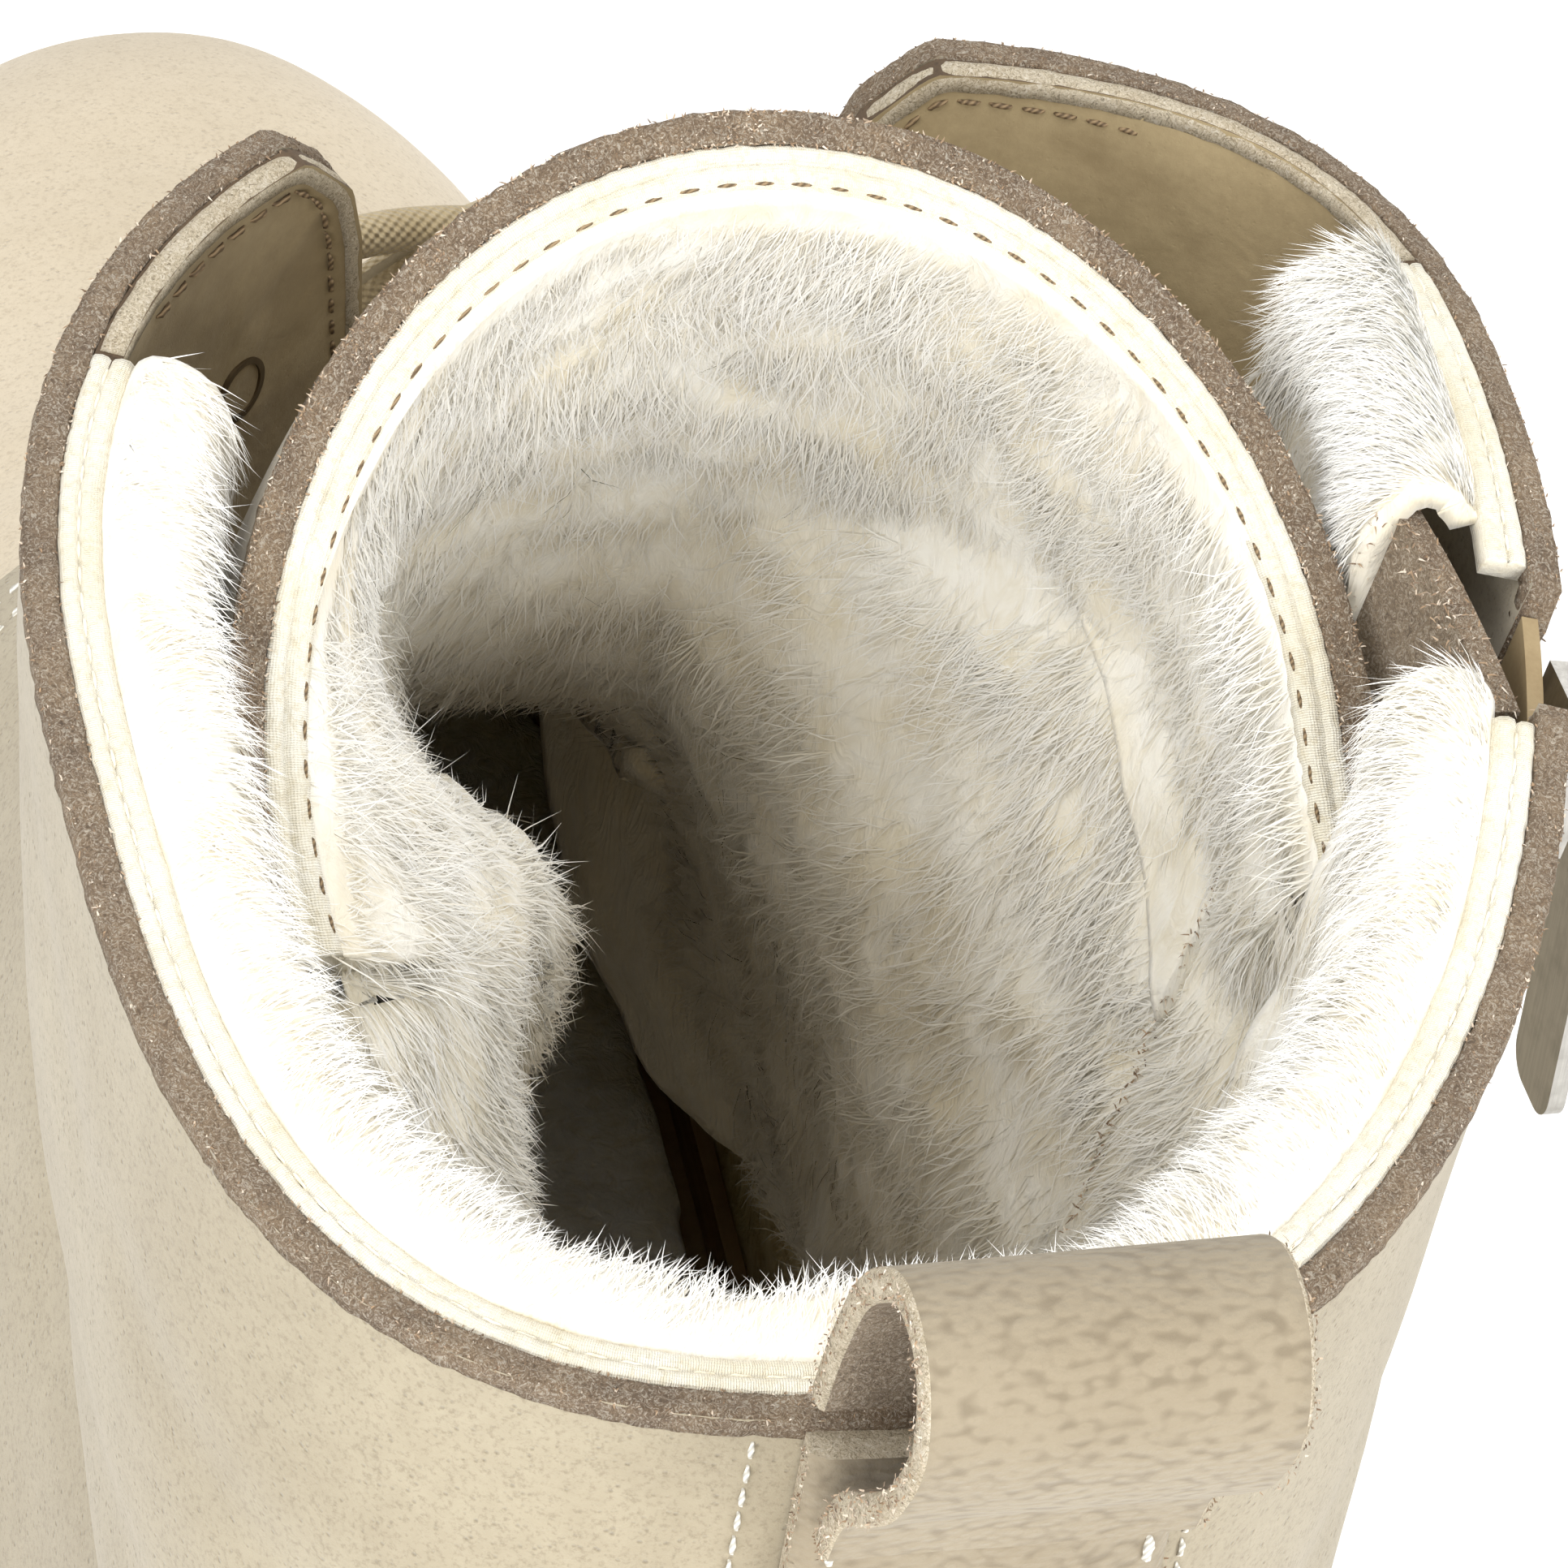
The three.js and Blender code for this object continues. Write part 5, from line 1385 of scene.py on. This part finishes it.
def make_stay(rng):
    half = STAY_WIDTH / 2
    t = np.linspace(12.72, 17.93, 100)[:, None]
    y = STAY_Y + np.linspace(-half, half, 26)[None, :]
    angle = angle_at_y(*np.broadcast_arrays(t, y), rear=True)
    edge = np.clip((half - np.abs(y - STAY_Y)) / 0.8, 0, 1) ** 0.5
    base = last_point(*np.broadcast_arrays(t, angle))
    normal = last_normal(*np.broadcast_arrays(t, angle))
    high = GAP + LEATHER * (0.72 + 0.28 * edge) + 0.12 * lumps(base, 7.0, 3.3)
    Piece().sheet(base + normal * high[..., None], base + normal * 0.1, (0, 1, 1)).make(
        "heel_stay_leather", [LOOP_GRAIN, CUT_EDGE], "nubuck", ["heel_stay"])
    threads = Piece()
    for inset in (2.4, STAY_WIDTH - 2.0):
        rows, angles = stay_frame(STAY_Y + half - inset, 12.8, 17.75, 260)
        stitch_row(threads, skin(rows, angles, GAP + LEATHER), last_normal(rows, angles), *STAY_STITCH)
    for side in (1, -1):
        rows, angles = stay_frame(STAY_Y + side * (half + 3.2), 12.8, 17.9, 260)
        stitch_row(threads, skin(rows, angles, 0.0), last_normal(rows, angles), *BESIDE_STAY_STITCH)
    threads.make("heel_stay_stitches", [PALE_THREAD], "lace_textile", sharp=0)
    for side, label in ((1, "lateral"), (-1, "medial")):
        rows, angles = stay_frame(STAY_Y + side * half, 12.8, 17.9, 300)
        path, out = skin(rows, angles, GAP + LEATHER * 0.85), last_normal(rows, angles)
        rise = np.tile([0.0, side, 0.0], (300, 1))
        crumbs(f"stay_edge_fibres_{label}", path, rise, out, 900, rng, (0.2, 0.55), LEATHER * 0.8)


# ------------------------------------------------------------------ zip

def zip_point(t, forward, depth):
    return skin(t, angle_at_x(t, -1, ZIP_X + forward), -depth)


def make_zip(rng):
    t = np.linspace(ZIP_FOOT + 0.12, COLLAR - 0.2, 90)[:, None]
    share = np.linspace(0, 1, 18)[None, :]
    front = zip_point(t, -4.4 + 16.9 * share, 3.0 + 6.2 * share)
    back = zip_point(t, -4.9 + 16.7 * share, 4.9 + 6.2 * share)
    wave = 0.3 * lumps(front, 8.0, 2.0)[..., None] * last_normal(t, angle_at_x(t, -1, ZIP_X + 4 + 0 * share))
    Piece().sheet(front + wave, back + wave, (0, 0, 1)).make("guard_suede", [RAW_SUEDE, RAW_EDGE], "suede",
                                                           ["zip_guard"])
    for name, grid in (("outside", front), ("inside", back)):
        path = np.concatenate([grid[:, -1], grid[-1, ::-1]])
        out = unit(np.concatenate([front[:, -1] - back[:, -1], (front - back)[-1, ::-1]]))
        rise = np.tile([0.0, 0.0, 1.0], (len(path), 1))
        crumbs(f"guard_edge_fibres_{name}", path, rise, out, 900, rng, (0.3, 0.8), 1.8)
    across = np.linspace(-4.9, 4.9, 12)[None, :]
    tape_t = np.linspace(ZIP_FOOT + 0.12, ZIP_TOP, 80)[:, None]
    Piece().sheet(zip_point(tape_t, across, 1.0), zip_point(tape_t, across, 2.2), (0, 0, 0)).make(
        "zip_cloth", [ZIP_CLOTH], "zip_textile", ["zip_tape"])
    fine = np.linspace(ZIP_FOOT + 0.2, 17.2, 500)
    centre, places = along(zip_point(fine, 0.0, 0.35), 1.35)
    out = carried(zip_point(fine, 0.0, 0.35), last_normal(fine, angle_at_x(fine, -1, ZIP_X)), places)
    ahead = unit(np.gradient(centre, axis=0))
    side = np.cross(out, ahead)
    shift = np.where(np.arange(len(centre)) % 2 == 0, 0.75, -0.75)[:, None]
    axes = np.stack([side, ahead, out], 1)
    teeth = Piece()
    stamp(teeth, soft_block((3.4, 0.95, 1.7), 0.22), centre + side * shift, axes)
    teeth.make("zip_teeth", [NICKEL], "nickel", sharp=30)
    seams = Piece()
    for forward in (-ZIP_HALF - 2.0, ZIP_HALF + 2.0):
        path = zip_point(fine, forward, 0.0)
        stitch_row(seams, path, last_normal(fine, angle_at_x(fine, -1, ZIP_X + forward)), *ZIP_STITCH)
    seams.make("zip_stitches", [PALE_THREAD], "lace_textile", sharp=0)


# ------------------------------------------------------------------ eyelets and lace

def eyelet_rows():
    """Rows of the last at even distances up the ridge line."""
    fine = np.linspace(*EYELET_ROWS, 201)
    ridge = row_at(SECTIONS, fine)[:, :2]
    walked = np.concatenate([[0], np.cumsum(np.linalg.norm(np.diff(ridge, axis=0), axis=1))])
    return np.interp(np.linspace(0, walked[-1], EYELET_PAIRS), walked, fine)


def eyelet_y(t, side):
    half = np.interp(row_at(SECTIONS, t)[..., 1], THROAT[:, 0], THROAT[:, 1])
    return THROAT_Y + side * (half + EYELET_SETBACK)


EYELET_PROFILE = np.array([
    (2.1, -FACING - 0.2), (2.6, -FACING - 0.2), (2.6, 0.3), (4.2, 0.3), (4.45, 0.5), (4.4, 0.85),
    (4.05, 1.15), (3.4, 1.35), (2.7, 1.35), (2.25, 1.1), (2.1, 0.7),
])


def make_eyelets():
    for pair, t in enumerate(eyelet_rows()):
        for side, label in ((1, "lateral"), (-1, "medial")):
            angle = angle_at_y(t, eyelet_y(t, side))
            piece = turned(Piece(), EYELET_PROFILE, last_point(t, angle), last_normal(t, angle))
            node = f"eyelet_{label}_{pair + 1}"
            piece.make(f"ring_{label}_{pair + 1}", [OLD_BRASS], "eyelet_metal", [node], sharp=50)


def lace_run(piece, start, end, over):
    """A length of round lace from eyelet to eyelet: out of the hole, across the leather and down again."""
    steps = 44
    f = np.linspace(0, 1, steps)
    t, y = start[0] + (end[0] - start[0]) * f, start[1] + (end[1] - start[1]) * f
    angles = angle_at_y(t, y)
    rise = np.clip(np.minimum(f, 1 - f) / 0.09, 0, 1)
    rise = rise * rise * (3 - 2 * rise)
    cross_over = over * 1.9 * np.exp(-((f - 0.5) / 0.13) ** 2)
    height = -1.4 + (2.1 + LACE / 2 + 1.1) * rise + cross_over
    path = soften(skin(t, angles, height), 3)
    ahead = unit(np.gradient(path, axis=0))
    side = unit(np.cross(ahead, last_normal(t, angles)))
    up = np.cross(side, ahead)
    turns = 2 * math.pi * np.arange(14) / 14
    flat = np.array([1.06, 0.9]) * (LACE / 2 - 0.15)
    rings = (path[:, None] + side[:, None] * (flat[0] * np.cos(turns))[None, :, None]
             + up[:, None] * (flat[1] * np.sin(turns))[None, :, None])
    along_it = np.concatenate([[0], np.cumsum(np.linalg.norm(np.diff(path, axis=0), axis=1))]) + 1
    spin = turns * LACE / 2
    uv = np.stack([along_it[:, None] + spin * 1.0, along_it[:, None] - spin * 1.0 + 40], -1)
    piece.tube(rings, uv=uv)


def make_lace():
    rows = eyelet_rows()
    at = lambda pair, side: (rows[pair], eyelet_y(rows[pair], side))
    piece = Piece()
    lace_run(piece, at(0, 1), at(0, -1), 0)
    for k in range(EYELET_PAIRS - 1):
        lace_run(piece, at(k, 1), at(k + 1, -1), 1)
        lace_run(piece, at(k, -1), at(k + 1, 1), -0.35)
    piece.make("lace_cord", [LACE_CLOTH], "lace_textile", ["lace"], sharp=0)


# ------------------------------------------------------------------ welt, sole and footbed

def foot_outline(count=460):
    """The feather line as a closed loop of points with the level direction straight out of the boot."""
    rows = np.concatenate([np.linspace(12.66, 1.2, 300), np.linspace(1.2, 0.45, 60)])
    loops = [last_point(rows, foot_edge(side)(rows)) for side in (1, -1)]
    path = np.concatenate([loops[0], loops[1][::-1]])
    path = np.concatenate([path, path[:1]])
    lengths = np.concatenate([[0], np.cumsum(np.linalg.norm(np.diff(path, axis=0), axis=1))])
    places = np.linspace(0, lengths[-1], count + 1)[:-1]
    path = np.stack([np.interp(places, lengths, path[:, k]) for k in range(3)], -1)
    for _ in range(8):
        path = 0.25 * np.roll(path, 1, 0) + 0.5 * path + 0.25 * np.roll(path, -1, 0)
    path[:, 2] = feather_z(path[:, 0])
    ahead = unit(np.roll(path, -1, 0) - np.roll(path, 1, 0))
    out = unit(np.stack([ahead[:, 1], -ahead[:, 0], 0 * ahead[:, 0]], -1))
    return path, out * np.sign((out * (path - path.mean(0))).sum())


def welt_at(x):
    share = np.clip((x - 20) / 90, 0, 1)
    return WELT_HEEL + (WELT_FORE - WELT_HEEL) * share * share * (3 - 2 * share)


def make_welt():
    path, out = foot_outline()
    reach = welt_at(path[:, 0])
    inner, under = np.full_like(reach, -7.0), np.full_like(reach, -1.5)
    profile = [(inner, 0.0), (under, 0.0), (reach * 0.25, 0.05), (reach - 0.55, 0.0), (reach - 0.12, -0.3),
               (reach, -0.8), (reach + 0.08, -1.9), (reach - 0.3, -2.25), (reach + 0.05, -2.6), (reach, -4.2),
               (reach - 0.5, -MIDSOLE), (inner, -MIDSOLE)]
    rings = np.stack([path + out * o[:, None] + np.array([0, 0, z]) for o, z in profile], 1)
    rings = np.concatenate([rings, rings[:1]])
    piece = Piece().add(rings, grid_faces(len(rings), len(profile), True))
    piece.make("welt_strip", [WELT], "welt_leather", ["midsole"], sharp=60)
    seam = path + out * (reach * 0.5)[:, None] + np.array([0, 0, 0.05])
    up = np.tile([0.0, 0.0, 1.0], (len(path), 1))
    stitches = Piece()
    stitch_row(stitches, np.concatenate([seam, seam[:1]]), np.concatenate([up, up[:1]]), *WELT_STITCH)
    stitches.make("welt_stitches", [PALE_THREAD], "lace_textile", sharp=0)


def finish_node(node, looks, bevel):
    """A carried-over solid gets its material and softened edges."""
    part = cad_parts[node]
    part.data.materials.clear()
    part.data.materials.append(looks)
    part.data.polygons.foreach_set("use_smooth", np.ones(len(part.data.polygons), bool))
    part.data.set_sharp_from_angle(angle=math.radians(32))
    if bevel:
        soft = part.modifiers.new("softened edges", "BEVEL")
        soft.width = bevel * MM
        soft.segments = 2
        soft.limit_method = "ANGLE"
        soft.angle_limit = math.radians(40)


def make_footbed():
    """The insole's fleece: the solid's own form, remeshed and made lumpy."""
    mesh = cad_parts["insole"].data.copy()
    bed = bpy.data.objects.new("footbed_fleece", mesh)
    bpy.context.collection.objects.link(bed)
    remesh = bed.modifiers.new("even mesh", "REMESH")
    remesh.mode = "VOXEL"
    remesh.voxel_size = 2.3 * MM
    smooth = bed.modifiers.new("rounded", "SMOOTH")
    smooth.iterations = 5
    done = bpy.data.meshes.new_from_object(bed.evaluated_get(bpy.context.evaluated_depsgraph_get()))
    bed.modifiers.clear()
    bed.data = done
    points = np.zeros(len(done.vertices) * 3)
    done.vertices.foreach_get("co", points)
    points = points.reshape(-1, 3) / MM
    top = points[:, 2] > feather_z(points[:, 0]) + 3.0
    points[:, 2] += top * (0.5 * lumps(points, 10.0, 1.0) + 0.35 * lumps(points, 4.0, 6.0) - 0.4)
    done.vertices.foreach_set("co", (points * MM).reshape(-1))
    done.materials.clear()
    done.materials.append(PILE)
    done.polygons.foreach_set("use_smooth", np.ones(len(done.polygons), bool))
    done.update()
    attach(bed, BODY)
    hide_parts("insole")


def make_vamp_seams():
    """Two rows of stitches along the front edge of each quarter, where it lies over the vamp."""
    threads = Piece()
    for side in (1, -1):
        zone = Zone(throat_edge(side), foot_edge(side))
        u = np.linspace(0.02, 0.985, 260)
        for behind in (0.16, 0.34):
            t = quarter_front(u) + behind
            angles = zone.angle(t, u)
            out = last_normal(t, angles)
            lift = np.minimum(creased(skin(t, angles, 0)), 0.9)
            stitch_row(threads, skin(t, angles, -0.25) + out * lift[:, None], out, *VAMP_STITCH)
    threads.make("vamp_seam_stitches", [PALE_THREAD], "lace_textile", sharp=0)


# ------------------------------------------------------------------ assembly

rng = np.random.default_rng(23)
make_camera()
make_studio()
make_vamp()
make_quarters()
make_vamp_seams()
make_collar(1, "lateral", rng)
make_collar(-1, "medial", rng)
make_facing(1, "lateral")
make_facing(-1, "medial")
make_fleece("collar_fleece_lateral", Zone(fleece_edge(1), foot_edge(1)), 120, 3.0, 32000, rng, 0.35)
make_fleece("collar_fleece_medial_rear", Zone(zip_edge(-ZIP_HALF), foot_edge(-1), (10.6, COLLAR)), 60, 10.8,
            17000, rng, 0.35)
make_fleece("collar_fleece_medial_front", Zone(fleece_edge(-1), zip_edge(ZIP_HALF + 6)), 60, 14.6,
            12000, rng, -0.3)
make_lining("foot_lining", Zone(foot_edge(1), foot_edge(-1), (0.5, 9.0)), 0.6, 8.9, 5.5)
make_lining("medial_lining", Zone(fleece_edge(-1), foot_edge(-1)), 3.0, 15.0, 6.0)
make_tongue(rng)
make_loop(rng)
make_stay(rng)
make_zip(rng)
make_eyelets()
make_lace()
make_welt()
make_footbed()
finish_node("outsole", RUBBER, 0.7)
finish_node("zip_slider", NICKEL, 0.25)
finish_node("zip_pull", NICKEL, 0.3)
